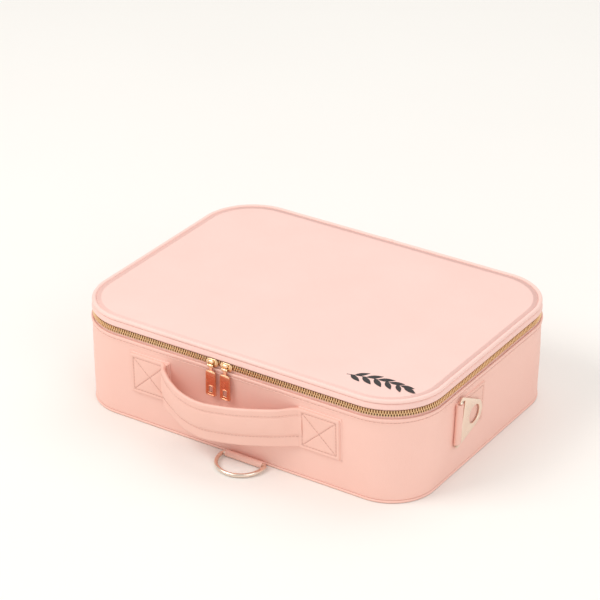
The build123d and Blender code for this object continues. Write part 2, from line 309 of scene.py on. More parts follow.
def tube(name, points, radius, material, body, closed=False, around=20, shape=None):
    # a round rod along points, with its ends closed
    pts = [Vector(p) for p in points]
    count = len(pts)
    verts = []
    tangents = []
    for i in range(count):
        if closed:
            t = pts[(i + 1) % count] - pts[i - 1]
        else:
            t = pts[min(i + 1, count - 1)] - pts[max(i - 1, 0)]
        tangents.append(t.normalized())
    side = tangents[0].orthogonal().normalized()
    for i in range(count):
        if i:
            turn = tangents[i - 1].rotation_difference(tangents[i])
            side = turn @ side
        up = tangents[i].cross(side)
        for a in range(around):
            angle = 2 * math.pi * a / around
            r = radius if shape is None else radius * shape(i / count)
            verts.append(pts[i] + (side * math.cos(angle) + up * math.sin(angle)) * r)
    faces = ringFaces(count, around, closed, capped=not closed)
    return finishMesh(name, verts, faces, material, body)


def gridPad(name, width, height, top, bottom, place, material, body, step=1.0 * mm, corner=2 * mm):
    # a pad over a rounded rectangle, where top(x, y, edge) gives the height and edge is the way
    # in from the rim
    nx = max(4, round(width / step))
    ny = max(4, round(height / step))
    verts = []
    for j in range(ny + 1):
        for i in range(nx + 1):
            u = 2 * i / nx - 1
            v = 2 * j / ny - 1
            x = u * width / 2
            y = v * height / 2
            x, y = roundCorner(x, y, width / 2, height / 2, corner)
            edge = min(width / 2 - abs(x), height / 2 - abs(y))
            verts.append((x, y, top(x, y, max(edge, 0))))
    topCount = len(verts)
    for x, y, _ in verts[:topCount]:
        verts.append((x, y, bottom))
    faces = []
    row = nx + 1
    for j in range(ny):
        for i in range(nx):
            a = j * row + i
            faces.append((a, a + 1, a + row + 1, a + row))
            faces.append((topCount + a, topCount + a + row, topCount + a + row + 1, topCount + a + 1))
    rim = list(range(nx))
    rim += [j * row + nx for j in range(ny)]
    rim += [ny * row + i for i in range(nx, 0, -1)]
    rim += [j * row for j in range(ny, 0, -1)]
    for k, a in enumerate(rim):
        b = rim[(k + 1) % len(rim)]
        faces.append((b, a, topCount + a, topCount + b))
    m = np.array(place)
    verts = np.array(verts) @ m[:3, :3].T + m[:3, 3]
    return finishMesh(name, verts, faces, material, body)


def roundCorner(x, y, halfX, halfY, corner):
    # draws the grid in towards a rounded outline near its four corners
    dx = abs(x) - (halfX - corner)
    dy = abs(y) - (halfY - corner)
    if dx > 0 and dy > 0:
        far = max(dx, dy)
        length = math.hypot(dx, dy)
        pull = far / length
        dx *= pull
        dy *= pull
        x = math.copysign(halfX - corner + dx, x)
        y = math.copysign(halfY - corner + dy, y)
    return x, y


def startMaterial(name, colour, roughness, metallic=0.0):
    material = bpy.data.materials.new(name)
    material.use_nodes = True
    tree = material.node_tree
    shader = tree.nodes["Principled BSDF"]
    shader.inputs["Base Color"].default_value = (*colour, 1)
    shader.inputs["Roughness"].default_value = roughness
    shader.inputs["Metallic"].default_value = metallic
    where = tree.nodes.new("ShaderNodeTexCoord")
    return material, tree, shader, where


def noiseNode(tree, where, scale, detail=3.0, roughness=0.5, stretch=None):
    node = tree.nodes.new("ShaderNodeTexNoise")
    node.inputs["Scale"].default_value = scale
    node.inputs["Detail"].default_value = detail
    node.inputs["Roughness"].default_value = roughness
    if stretch is None:
        tree.links.new(where.outputs["Object"], node.inputs["Vector"])
    else:
        mapping = tree.nodes.new("ShaderNodeMapping")
        mapping.inputs["Scale"].default_value = stretch
        tree.links.new(where.outputs["Object"], mapping.inputs["Vector"])
        tree.links.new(mapping.outputs["Vector"], node.inputs["Vector"])
    return node


def rampNode(tree, source, stops):
    ramp = tree.nodes.new("ShaderNodeValToRGB")
    while len(ramp.color_ramp.elements) < len(stops):
        ramp.color_ramp.elements.new(0.5)
    for element, (at, colour) in zip(ramp.color_ramp.elements, stops):
        element.position = at
        element.color = (*colour, 1) if len(colour) == 3 else (colour[0],) * 3 + (1,)
    tree.links.new(source, ramp.inputs["Fac"])
    return ramp


def addBump(tree, shader, heights, distance, strength=1.0):
    # sums several height outputs and feeds them to the shader's normal
    total = heights[0]
    for extra in heights[1:]:
        add = tree.nodes.new("ShaderNodeMath")
        add.operation = "ADD"
        tree.links.new(total, add.inputs[0])
        tree.links.new(extra, add.inputs[1])
        total = add.outputs[0]
    bump = tree.nodes.new("ShaderNodeBump")
    bump.inputs["Distance"].default_value = distance
    bump.inputs["Strength"].default_value = strength
    tree.links.new(total, bump.inputs["Height"])
    tree.links.new(bump.outputs["Normal"], shader.inputs["Normal"])
    return bump


def tintBy(tree, shader, source, shade, colour, low=0.3, high=0.7):
    # mottles the colour between a shade and the full colour
    tint = rampNode(tree, source, [(low, shade), (high, colour)])
    tree.links.new(tint.outputs["Color"], shader.inputs["Base Color"])


def roughenBy(tree, shader, source, low, high):
    # uneven polish, where low and high are each a level of the source and a roughness
    ramp = rampNode(tree, source, [(low[0], (low[1],)), (high[0], (high[1],))])
    tree.links.new(ramp.outputs["Color"], shader.inputs["Roughness"])


def waveNode(tree, where, direction, scale, distortion=0.0):
    wave = tree.nodes.new("ShaderNodeTexWave")
    wave.bands_direction = direction
    wave.inputs["Scale"].default_value = scale
    wave.inputs["Distortion"].default_value = distortion
    tree.links.new(where.outputs["Object"], wave.inputs["Vector"])
    return wave


def scaled(tree, source, factor):
    node = tree.nodes.new("ShaderNodeMath")
    node.operation = "MULTIPLY"
    node.inputs[1].default_value = factor
    tree.links.new(source, node.inputs[0])
    return node.outputs[0]


def leatherCloth(name, colour, shade, grain=1.0, roughness=(0.44, 0.58)):
    # coated cloth with a fine pebbled grain, faintly blotchy, a little shinier on the high spots
    material, tree, shader, where = startMaterial(name, colour, 0.5)
    blotch = noiseNode(tree, where, 14, 4, 0.55)
    tintBy(tree, shader, blotch.outputs["Fac"], shade, colour)
    pebble = tree.nodes.new("ShaderNodeTexVoronoi")
    pebble.feature = "SMOOTH_F1"
    pebble.inputs["Scale"].default_value = 950
    tree.links.new(where.outputs["Object"], pebble.inputs["Vector"])
    fine = noiseNode(tree, where, 2600, 2, 0.6)
    soft = noiseNode(tree, where, 60, 2, 0.5)
    roughenBy(tree, shader, pebble.outputs["Distance"], (0.1, roughness[0]), (0.8, roughness[1]))
    addBump(
        tree, shader,
        [
            scaled(tree, pebble.outputs["Distance"], -0.5 * grain),
            scaled(tree, fine.outputs["Fac"], 0.25 * grain),
            scaled(tree, soft.outputs["Fac"], 1.2),
        ],
        0.00022,
    )
    shader.inputs["Specular IOR Level"].default_value = 0.42
    return material


def wovenCloth(name, colour, shade, pitch=0.6 * mm, roughness=0.8, sheen=0.3):
    # plain weave from two crossed waves, mottled and slightly fuzzy
    material, tree, shader, where = startMaterial(name, colour, roughness)
    mottle = noiseNode(tree, where, 90, 4, 0.6)
    tintBy(tree, shader, mottle.outputs["Fac"], shade, colour)
    waves = []
    for direction in ("X", "Y", "Z"):
        wave = waveNode(tree, where, direction, 0.314 / pitch, 0.4)
        waves.append(scaled(tree, wave.outputs["Fac"], 0.5))
    addBump(tree, shader, waves, 0.00018)
    shader.inputs["Sheen Weight"].default_value = sheen
    shader.inputs["Sheen Roughness"].default_value = 0.5
    return material


def polishedMetal(name, colour, roughness=0.2, wear=0.12):
    # plated metal with faint hairlines and uneven polish
    material, tree, shader, where = startMaterial(name, colour, roughness, 1.0)
    smear = noiseNode(tree, where, 220, 4, 0.6)
    roughenBy(tree, shader, smear.outputs["Fac"], (0.3, roughness), (0.8, roughness + wear))
    hair = noiseNode(tree, where, 700, 3, 0.6, (1, 1, 0.06))
    addBump(tree, shader, [hair.outputs["Fac"]], 0.00002)
    return material


# the darker bands along the twist are painted shade in the grooves between the plies
def twistedThread(name, colour, shade):
    material, tree, shader, where = startMaterial(name, colour, 0.62)
    wave = waveNode(tree, where, "DIAGONAL", 900)
    tintBy(tree, shader, wave.outputs["Fac"], shade, colour, low=0.1)
    addBump(tree, shader, [wave.outputs["Fac"]], 0.0001)
    shader.inputs["Sheen Weight"].default_value = 0.2
    return material


def clearFilm(name):
    # thin clear sheet with slight ripples and scuffs
    material, tree, shader, where = startMaterial(name, (0.93, 0.93, 0.95), 0.12)
    ripple = noiseNode(tree, where, 30, 3, 0.5)
    roughenBy(tree, shader, ripple.outputs["Fac"], (0.35, 0.08), (0.75, 0.24))
    shader.inputs["Alpha"].default_value = 0.32
    addBump(tree, shader, [ripple.outputs["Fac"]], 0.0006)
    return material


def pressedBoard(name, colour, shade):
    material, tree, shader, where = startMaterial(name, colour, 0.85)
    fibre = noiseNode(tree, where, 260, 5, 0.65, (1, 0.25, 1))
    tintBy(tree, shader, fibre.outputs["Fac"], shade, colour)
    addBump(tree, shader, [fibre.outputs["Fac"]], 0.0001)
    return material


paints = {
    "lidCloth": leatherCloth("lid_leathercloth", (0.93, 0.63, 0.575), (0.915, 0.605, 0.548), 0.8),
    "wallCloth": leatherCloth("wall_leathercloth", (0.93, 0.59, 0.51), (0.91, 0.565, 0.485), 1.0),
    "strapCloth": leatherCloth("strap_leathercloth", (0.90, 0.56, 0.475), (0.875, 0.53, 0.445), 0.9),
    "pipingCloth": leatherCloth("piping_leathercloth", (0.94, 0.66, 0.60), (0.92, 0.63, 0.57), 0.5),
    # darker cloth for the strap's inside: partly a lining, partly painted shade on the side that
    # faces the wall
    "liningAndShadeCloth": leatherCloth("strap_lining_and_shade", (0.86, 0.50, 0.42), (0.82, 0.46, 0.38), 0.6),
    "tape": wovenCloth("zip_tape_weave", (0.90, 0.56, 0.49), (0.84, 0.50, 0.43)),
    "lining": wovenCloth("lining_weave", (0.80, 0.52, 0.47), (0.74, 0.46, 0.41), 0.9 * mm),
    "elastic": wovenCloth("elastic_weave", (0.70, 0.40, 0.36), (0.62, 0.34, 0.30), 0.8 * mm),
    "zipGold": polishedMetal("zip_gold", (0.86, 0.60, 0.34), 0.24),
    # dark brown for the strip behind the zip teeth: painted shade and painted reflection in the gaps
    # between the teeth
    "zipPaintedShade": wovenCloth("zip_painted_shade", (0.42, 0.21, 0.10), (0.30, 0.14, 0.06), 0.5 * mm),
    "sliderGold": polishedMetal("slider_gold", (0.93, 0.70, 0.45), 0.14),
    "pullGold": polishedMetal("pull_rose_gold", (0.93, 0.47, 0.30), 0.2),
    "ringMetal": polishedMetal("ring_pale_gold", (0.86, 0.74, 0.64), 0.2),
    # a lighter, paler and smoother copy of the pull's rose gold for its rim, window frame and eye:
    # the lighter colour is painted highlight
    "pullHighlight": polishedMetal("pull_painted_highlight", (0.97, 0.62, 0.40), 0.12),
    "plateMetal": polishedMetal("plate_champagne", (0.92, 0.76, 0.63), 0.26),
    # thread darker than the cloth: partly its own tone, partly painted shade for the shadowed stitch
    # holes
    "thread": twistedThread("sewing_thread", (0.84, 0.53, 0.45), (0.64, 0.36, 0.29)),
    "film": clearFilm("clear_film"),
    "foam": pressedBoard("white_padding", (0.90, 0.88, 0.83), (0.84, 0.81, 0.75)),
    "board": pressedBoard("stiffening_board", (0.78, 0.72, 0.64), (0.68, 0.61, 0.52)),
    "print": leatherCloth("dark_print", (0.035, 0.03, 0.03), (0.025, 0.02, 0.02), 0.3),
}


def repaint(node, paint):
    # a CAD piece that stays, with its own finish
    obj = frame["nodes"][node]
    obj.data.materials.clear()
    obj.data.materials.append(paints[paint])
    obj.data.shade_smooth()
    obj.data.set_sharp_from_angle(angle=math.radians(35))


cameraSet = {
    "azimuth": 32.73,
    "elevation": 28.81,
    "distance": 2.481,
    "lens": 147.46,
    "target": (0, 0, 0.060),
    "across": -0.01727,
    "above": 0.04128,
}


def makeCamera():
    c = cameraSet
    a = math.radians(c["azimuth"])
    e = math.radians(c["elevation"])
    back = Vector((math.sin(a) * math.cos(e), -math.cos(a) * math.cos(e), math.sin(e)))
    right = Vector((math.cos(a), math.sin(a), 0))
    up = back.cross(right)
    place = Vector(c["target"]) + back * c["distance"]
    aim = Vector(c["target"]) + right * c["across"] + up * c["above"]
    data = bpy.data.cameras.new("camera")
    data.lens = c["lens"]
    data.sensor_width = 36
    camera = bpy.data.objects.new("camera", data)
    camera.location = place
    camera.rotation_euler = (aim - place).to_track_quat("-Z", "Y").to_euler()
    bpy.context.scene.collection.objects.link(camera)
    bpy.context.scene.camera = camera


makeCamera()
print("camera placed")


coverShape = {
    "stitchBelowFold": 4.2 * mm,
    "stitchPitch": 4.0 * mm,
    "stitchLength": 3.0 * mm,
    "threadRadius": 0.32 * mm,
    "threadSunk": 0.98 * mm,
    "threadUneven": 0.06 * mm,
    "threadTilt": 0.06,
    "pucker": 0.10 * mm,
    "wave": 0.35 * mm,
}


def wallWave(pos, out, z):
    # soft unevenness of the stretched cloth, and small puckers along the stitching
    extra = np.zeros(len(pos))
    below = caseShape["foldZ"] - z
    if out > -2.0 * mm:
        for k, (x, y) in enumerate(pos):
            extra[k] = noise.noise(Vector((x * 14, y * 14, z * 22))) * coverShape["wave"]
        ends = min(1, max(0, (z - 4 * mm) / (12 * mm)), max(0, (below - 6 * mm) / (14 * mm)))
        extra *= ends
    near = abs(below - coverShape["stitchBelowFold"])
    if near < 3 * mm and out > -2.0 * mm:
        walk = np.arange(len(pos)) * caseShape["ringStep"]
        fade = 1 - near / (3 * mm)
        extra += coverShape["pucker"] * fade * np.sin(2 * math.pi * walk / (7.3 * mm))
    return extra, 0


def makeCover():
    # outward and up, in millimetres: foot, belly, hem, seam, rolled edge and back
    seam = caseShape["foldZ"] - coverShape["stitchBelowFold"]
    foot = coverLow.z / mm
    top = caseShape["foldZ"] / mm
    line = seam / mm
    rows = [(-2.4, foot + 0.2), (-1.7, foot + 0.05), (-1.3, foot + 0.45), (-1.2, foot + 1.4)]
    rows += [(-1.12, 10), (-1.0, 18), (-0.9, 28), (-0.82, 40), (-0.82, 52), (-0.9, 62)]
    rows += [(-1.0, 70), (-1.12, 77), (-1.2, top - 6.6), (-1.05, top - 6.0)]
    rows += [(-0.72, top - 5.6), (-0.62, top - 5.1)]
    rows += [(-0.95, line + 0.35), (-1.3, line), (-0.95, line - 0.35 + 0.7)]
    rows += [(-0.45, line + 1.0), (-0.12, line + 1.9), (0.0, top - 1.2)]
    rows += [(-0.08, top - 0.55), (-0.4, top - 0.15), (-0.9, top), (-1.5, top - 0.05)]
    rows += [(-2.05, top - 0.35), (-2.35, top - 1.0), (-2.4, top - 4), (-2.4, 60), (-2.4, 30)]
    cover = sweepRing("bodyCover", inMetres(rows), paints["wallCloth"], "case", shift=wallWave)
    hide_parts("wall_cover")
    sunk = coverShape["threadSunk"]
    pos, out, along = walkRing(coverShape["stitchPitch"], seam)
    places = []
    for p, n, t in zip(pos, out, along):
        uneven = random.uniform(-1, 1) * coverShape["threadUneven"]
        origin = (p[0] - n[0] * sunk, p[1] - n[1] * sunk, seam + uneven)
        xDir = Vector((t[0], t[1], coverShape["threadTilt"])).normalized()
        zDir = Vector((n[0], n[1], 0))
        places.append(placeMatrix(origin, xDir, zDir.cross(xDir), zDir))
    thread = scatter(
        "hemStitches", capsule(coverShape["stitchLength"], coverShape["threadRadius"]),
        places, paints["thread"], "case",
    )


def makeWelt():
    z0 = weltLow.z / mm
    z1 = weltHigh.z / mm
    rows = [(-2.3, z0), (-1.3, z0), (-0.75, z0 + 0.35), (-0.5, z0 + 1.1), (-0.55, z1 - 0.7)]
    rows += [(-0.85, z1 - 0.15), (-1.4, z1), (-2.3, z1)]
    welt = sweepRing("baseSeam", inMetres(rows), paints["wallCloth"], "case")
    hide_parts("base_welt")


makeCover()
makeWelt()
print("body cover done")


zipShape = {
    "pitch": 2.72 * mm,
    "toothWidth": 1.2 * mm,
    "toothTall": 3.5 * mm,
    "toothDeep": 2.6 * mm,
    "openEnd": 146 * mm,
    "toothRound": 0.34 * mm,
    "toothLean": 0.05,
    "footTall": 0.9 * mm,
    "footRound": 0.25 * mm,
    "chainSunk": 1.2 * mm,
    # how far in and how thick the painted shade strip behind the teeth sits
    "shadeSunk": 1.0 * mm,
    "shadeThick": 0.5 * mm,
}


def makeTeeth():
    chainOut = -(caseShape["halfX"] - (teethHigh.x - zipShape["chainSunk"]))
    middle = (teethHigh.z + upperTeethLow.z) / 2
    pos, out, along = walkRing(zipShape["pitch"])
    tooth = roundBox(
        zipShape["toothWidth"], zipShape["toothDeep"], zipShape["toothTall"],
        zipShape["toothRound"],
    )
    foot = roundBox(
        zipShape["toothWidth"] * 1.25, zipShape["toothDeep"] * 0.8, zipShape["footTall"],
        zipShape["footRound"],
    )
    for half, body, node, shiftShare, sign in (
        ("lower", "case", "zip_teeth_lower", 0.0, -1), ("upper", "lid", "zip_teeth_upper", 0.5, 1)
    ):
        places = []
        feet = []
        for p, n, t in zip(pos, out, along):
            p = p + t * zipShape["pitch"] * shiftShare
            if p[1] > 0 and abs(p[0]) < zipShape["openEnd"]:
                continue
            reach = teethHigh.z - teethLow.z
            centre = middle + sign * (reach - zipShape["toothTall"] / 2 + 0.05 * mm)
            origin = (p[0] + n[0] * chainOut, p[1] + n[1] * chainOut, centre)
            xDir = Vector((t[0], t[1], zipShape["toothLean"] * sign)).normalized()
            yDir = Vector((n[0], n[1], 0))
            zDir = xDir.cross(yDir).normalized()
            if zDir.z < 0:
                zDir = -zDir
            places.append(placeMatrix(origin, xDir, yDir, zDir))
            low = middle + sign * (reach - zipShape["footTall"] / 2)
            feet.append(placeMatrix((origin[0], origin[1], low), xDir, yDir, zDir))
        teeth = scatter("zipTeeth_" + half, tooth, places, paints["zipGold"], body)
        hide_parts(node)
        roots = scatter("zipToothFeet_" + half, foot, feet, paints["zipGold"], body)


makeTeeth()
print("zip done")


lidShape = {
    "crown": 1.0 * mm,
    "panelIn": 5.6 * mm,
    "ripple": 0.16 * mm,
    "pipingRadius": 2.2 * mm,
    "pipingAround": 18,
    "joinStart": -11 * mm,
    "joinStep": 1.4 * mm,
    "joinOver": 0.22 * mm,
    "padding": 1.9 * mm,
}


def makeLidBand():
    low = bandLow.z / mm
    high = bandHigh.z / mm
    rows = [(-2.45, low + 0.5), (-2.0, low + 0.05), (-1.35, low), (-0.95, low + 0.45)]
    rows += [(-0.9, low + 1.1), (-1.15, low + 1.9), (-1.3, low + 2.9), (-1.6, low + 4.0)]
    rows += [(-2.1, high - 0.5), (-2.6, high), (-3.2, high), (-2.75, low + 2.6)]
    band = sweepRing("lidBand", inMetres(rows), paints["lidCloth"], "lid")
    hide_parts("lid_band_cover")


def makePiping():
    middle = (pipingLow.z + pipingHigh.z) / 2
    centre = -(caseShape["halfX"] - pipingHigh.x) - lidShape["pipingRadius"]
    rows = circleOutline(lidShape["pipingRadius"], centre, middle, lidShape["pipingAround"])

    def uneven(pos, out, z):
        extra = np.array([
            noise.noise(Vector((x * 60, y * 60, 3.0))) * 0.12 * mm for x, y in pos
        ])
        return extra, extra

    piping = sweepRing("lidPiping", rows, paints["pipingCloth"], "lid", shift=uneven)
    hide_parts("lid_piping")
    y = caseShape["halfY"] + centre
    sleeve = tube(
        "pipingJoin",
        [(lidShape["joinStart"] + k * lidShape["joinStep"], y, middle) for k in range(9)],
        lidShape["pipingRadius"] + lidShape["joinOver"], paints["pipingCloth"], "lid", around=24,
        shape=lambda t: 1 - 0.05 * abs(2 * t - 0.9) ** 6,
    )


def lidHeight(x, y, edge):
    # height of the padded top above its rim, edge being the way in from the piping
    rise = 1 - math.exp(-edge / (7 * mm))
    crown = lidShape["crown"]
    crown *= (1 - (x / caseShape["halfX"]) ** 2) * (1 - (y / caseShape["halfY"]) ** 2)
    ripple = noise.noise(Vector((x * 9, y * 9, 1.7)))
    ripple += 0.5 * noise.noise(Vector((x * 23, y * 23, 5.1)))
    return rise * (lidShape["padding"] + crown + ripple * lidShape["ripple"])


def makePanel(name, inset, level, flat, height, material, body, way):
    # a panel inside the case outline, soft on the side that faces way, and flat behind
    seg, share = ringSamples(3.2 * mm)
    pos, out = ringPoints(seg, share, *wallAt(level))
    rim = pos - out * inset
    verts = []
    faces = []
    insets = [0, 0.5, 1.2, 2.2, 3.6, 5.5, 8, 11, 15, 20]
    rings = [(rim - out * i * mm, i * mm) for i in insets]
    lastRing, lastInset = rings[-1]
    steps = 30
    for k in range(1, steps):
        part = k / steps
        rings.append((lastRing * (1 - part), lastInset + part * 0.12))
    count = len(seg)
    for ring, edge in rings:
        for x, y in ring:
            verts.append((x, y, level + way * height(x, y, edge)))
    centre = len(verts)
    verts.append((0, 0, level + way * height(0, 0, 0.14)))
    under = len(verts)
    for x, y in rim:
        verts.append((x, y, flat))
    middle = len(verts)
    verts.append((0, 0, flat))
    for r in range(len(rings) - 1):
        for i in range(count):
            n = (i + 1) % count
            faces.append((r * count + i, r * count + n, (r + 1) * count + n, (r + 1) * count + i))
    last = (len(rings) - 1) * count
    for i in range(count):
        n = (i + 1) % count
        faces.append((last + i, last + n, centre))
        faces.append((n, i, under + i, under + n))
        faces.append((under + n, under + i, middle))
    if way < 0:
        faces = [f[::-1] for f in faces]
    return finishMesh(name, verts, faces, material, body)


def makeLidTop():
    top = makePanel(
        "lidTop", lidShape["panelIn"], topHigh.z - 2.2 * mm, topLow.z + 0.2 * mm,
        lidHeight, paints["lidCloth"], "lid", 1,
    )
    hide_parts("lid_top_cover")


makeLidBand()
makePiping()
makeLidTop()
print("lid done")


leanAngle = math.atan2(caseShape["lean"], caseShape["foldZ"])


def lineLengths(points):
    # how far each point is along the line
    walked = [0.0]
    for a, b in zip(points, points[1:]):
        walked.append(walked[-1] + (b - a).length)
    return walked


def findSpans(walked, wanted):
    # the span that each wanted distance falls in, and its share of the way along it
    j = 0
    for want in wanted:
        while j < len(walked) - 2 and walked[j + 1] < want:
            j += 1
        span = walked[j + 1] - walked[j]
        yield j, (want - walked[j]) / span if span else 0


def smoothLine(points, step):
    # a smooth line through the points, evenly stepped
    pts = [Vector(p) if len(p) == 3 else Vector((*p, 0)) for p in points]
    pts = [2 * pts[0] - pts[1]] + pts + [2 * pts[-1] - pts[-2]]
    dense = []
    for a, b, c, d in zip(pts, pts[1:], pts[2:], pts[3:]):
        for k in range(24):
            t = k / 24
            dense.append(0.5 * (
                2 * b + (c - a) * t + (2 * a - 5 * b + 4 * c - d) * t ** 2
                + (3 * b - a - 3 * c + d) * t ** 3
            ))
    dense.append(pts[-2])
    walked = lineLengths(dense)
    count = max(2, round(walked[-1] / step))
    wanted = [walked[-1] * k / count for k in range(count + 1)]
    return [dense[j].lerp(dense[j + 1], share) for j, share in findSpans(walked, wanted)]


def wallPlace(origin, xDir, zDir):
    z = Vector(zDir).normalized()
    x = Vector(xDir).normalized()
    return placeMatrix(origin, x, z.cross(x), z)


def turned(place, move=(0, 0, 0), angle=0.0):
    # the same place moved in its own directions, then turned about its own z
    local = np.eye(4)
    local[:3, 3] = move
    local[0, 0] = local[1, 1] = math.cos(angle)
    local[0, 1] = -math.sin(angle)
    local[1, 0] = math.sin(angle)
    return place @ local


def stitchPlaces(points, normals, pitch, tilt=0.08):
    # even places along a line of points, each with its own way out of the cloth
    places = []
    walked = lineLengths(points)
    count = max(1, round(walked[-1] / pitch))
    wanted = [walked[-1] * (k + 0.5) / count for k in range(count)]
    for j, share in findSpans(walked, wanted):
        origin = points[j].lerp(points[j + 1], share)
        along = (points[j + 1] - points[j]).normalized()
        out = normals[j].lerp(normals[min(j + 1, len(normals) - 1)], share)
        out = (out - along * out.dot(along)).normalized()
        side = out.cross(along)
        along = (along + side * tilt).normalized()
        places.append(placeMatrix(origin, along, out.cross(along), out))
    return places


def roundedOutline(width, height, corner, cx=0.0, cy=0.0, count=8):
    points = []
    centres = [(1, 1, 0), (-1, 1, 90), (-1, -1, 180), (1, -1, 270)]
    for sx, sy, start in centres:
        x = cx + sx * (width / 2 - corner)
        y = cy + sy * (height / 2 - corner)
        points += arcPoints(corner, start, start + 90, count, x, y)
    return points


def hullOutline(circles, count=72):
    # the tight outline round several circles, given as centre and radius
    cloud = sorted({p for cx, cy, r in circles for p in circleOutline(r, cx, cy, count)})

    def chain(points):
        kept = []
        for p in points:
            while len(kept) > 1:
                (ax, ay), (bx, by) = kept[-2], kept[-1]
                if (bx - ax) * (p[1] - ay) - (by - ay) * (p[0] - ax) > 0:
                    break
                kept.pop()
            kept.append(p)
        return kept[:-1]

    return chain(cloud) + chain(cloud[::-1])


def cutPlate(name, outline, holes, thickness, bevel, place, material, body):
    # a flat part cut to an outline in millimetres, with softened edges
    curve = bpy.data.curves.new(name, "CURVE")
    curve.dimensions = "2D"
    curve.fill_mode = "BOTH"
    curve.extrude = thickness / 2 - bevel
    curve.bevel_depth = bevel
    curve.bevel_resolution = 2
    curve.offset = -bevel
    for loop in [outline] + list(holes):
        spline = curve.splines.new("POLY")
        spline.points.add(len(loop) - 1)
        for point, (x, y) in zip(spline.points, loop):
            point.co = (x, y, 0, 1)
        spline.use_cyclic_u = True
    holder = bpy.data.objects.new(name + "Outline", curve)
    bpy.context.scene.collection.objects.link(holder)
    drawn = bpy.data.meshes.new_from_object(holder)
    bpy.data.objects.remove(holder)
    bm = bmesh.new()
    bm.from_mesh(drawn)
    bmesh.ops.remove_doubles(bm, verts=bm.verts, dist=1e-4)
    bmesh.ops.dissolve_degenerate(bm, edges=bm.edges, dist=1e-5)
    bmesh.ops.recalc_face_normals(bm, faces=bm.faces)
    bm.verts.ensure_lookup_table()
    verts = np.array([v.co for v in bm.verts]) * mm
    faces = [tuple(v.index for v in f.verts) for f in bm.faces]
    bm.free()
    bpy.data.meshes.remove(drawn)
    verts = verts @ place[:3, :3].T + place[:3, 3]
    return finishMesh(name, verts, faces, material, body, sharp=38)


frontOrigin = Vector(hinge["handle_swing"]["pos_m"])
frontPlace = wallPlace(
    frontOrigin, (1, 0, 0), (0, -math.cos(leanAngle), -math.sin(leanAngle))
)

handleShape = {
    "width": 44.0 * mm,
    "thick": 4.0 * mm,
    "droop": math.radians(6.0),
    "leftJoin": -58.0 * mm,
    "rightJoin": 40.0 * mm,
    "upperCrease": 13.6 * mm,
    "lowerFold": -8.2 * mm,
    "puff": 1.1 * mm,
    "edgeRound": 1.7 * mm,
    "stitchPitch": 3.5 * mm,
    "stitchLength": 2.6 * mm,
    "threadRadius": 0.3 * mm,
    # along the front and out from the wall, for the outer face
    "line": [
        (-84, 3.3), (-80.5, 5.4), (-77.5, 11.5), (-70, 17.2), (-58, 23.6), (-45, 30.2),
        (-30, 34.6), (-16, 36.0), (-2, 34.2), (20, 28.6), (42, 20.4), (60, 12.2),
        (70, 6.4), (77, 3.2), (80, 2.7),
    ],
}


def strapFace(v):
    # how far the outer and inner faces stand off the strap's middle at a place across it
    h = handleShape
    half = h["thick"] / 2
    edge = h["width"] / 2 - abs(v)
    roundOff = softStep(edge, h["edgeRound"])
    outer = half * roundOff
    if h["lowerFold"] < v < h["upperCrease"]:
        share = (v - h["lowerFold"]) / (h["upperCrease"] - h["lowerFold"])
        outer += h["puff"] * math.sin(math.pi * share) ** 0.55
    if v < h["lowerFold"]:
        outer -= 0.5 * mm * min(1, (h["lowerFold"] - v) / (0.5 * mm)) * roundOff
    outer -= 0.55 * mm * math.exp(-((v - h["upperCrease"]) / (0.55 * mm)) ** 2)
    outer -= 0.75 * mm * math.exp(-((v - h["lowerFold"]) / (0.45 * mm)) ** 2)
    inner = -half * roundOff
    inner += 0.35 * mm * math.exp(-((v + 12 * mm) / (0.6 * mm)) ** 2)
    return outer, inner


def strapPoint(centre, normal, v, w):
    # a place on the strap, drooped below level and hung on the front wall
    h = handleShape
    x = centre.x + normal.x * w
    out = centre.y + normal.y * w
    reach = min(1, max(0, (76 * mm - abs(centre.x)) / (18 * mm)))
    reach = reach * reach * (3 - 2 * reach)
    angle = h["droop"] * reach
    sag = 1.4 * mm * max(0, 1 - (centre.x / (76 * mm)) ** 2)
    up = v * math.cos(angle) - out * math.sin(angle) - sag
    outward = out * math.cos(angle) + v * math.sin(angle)
    return np.array(frontPlace)[:3, :3] @ np.array((x, up, outward)) + np.array(frontOrigin)


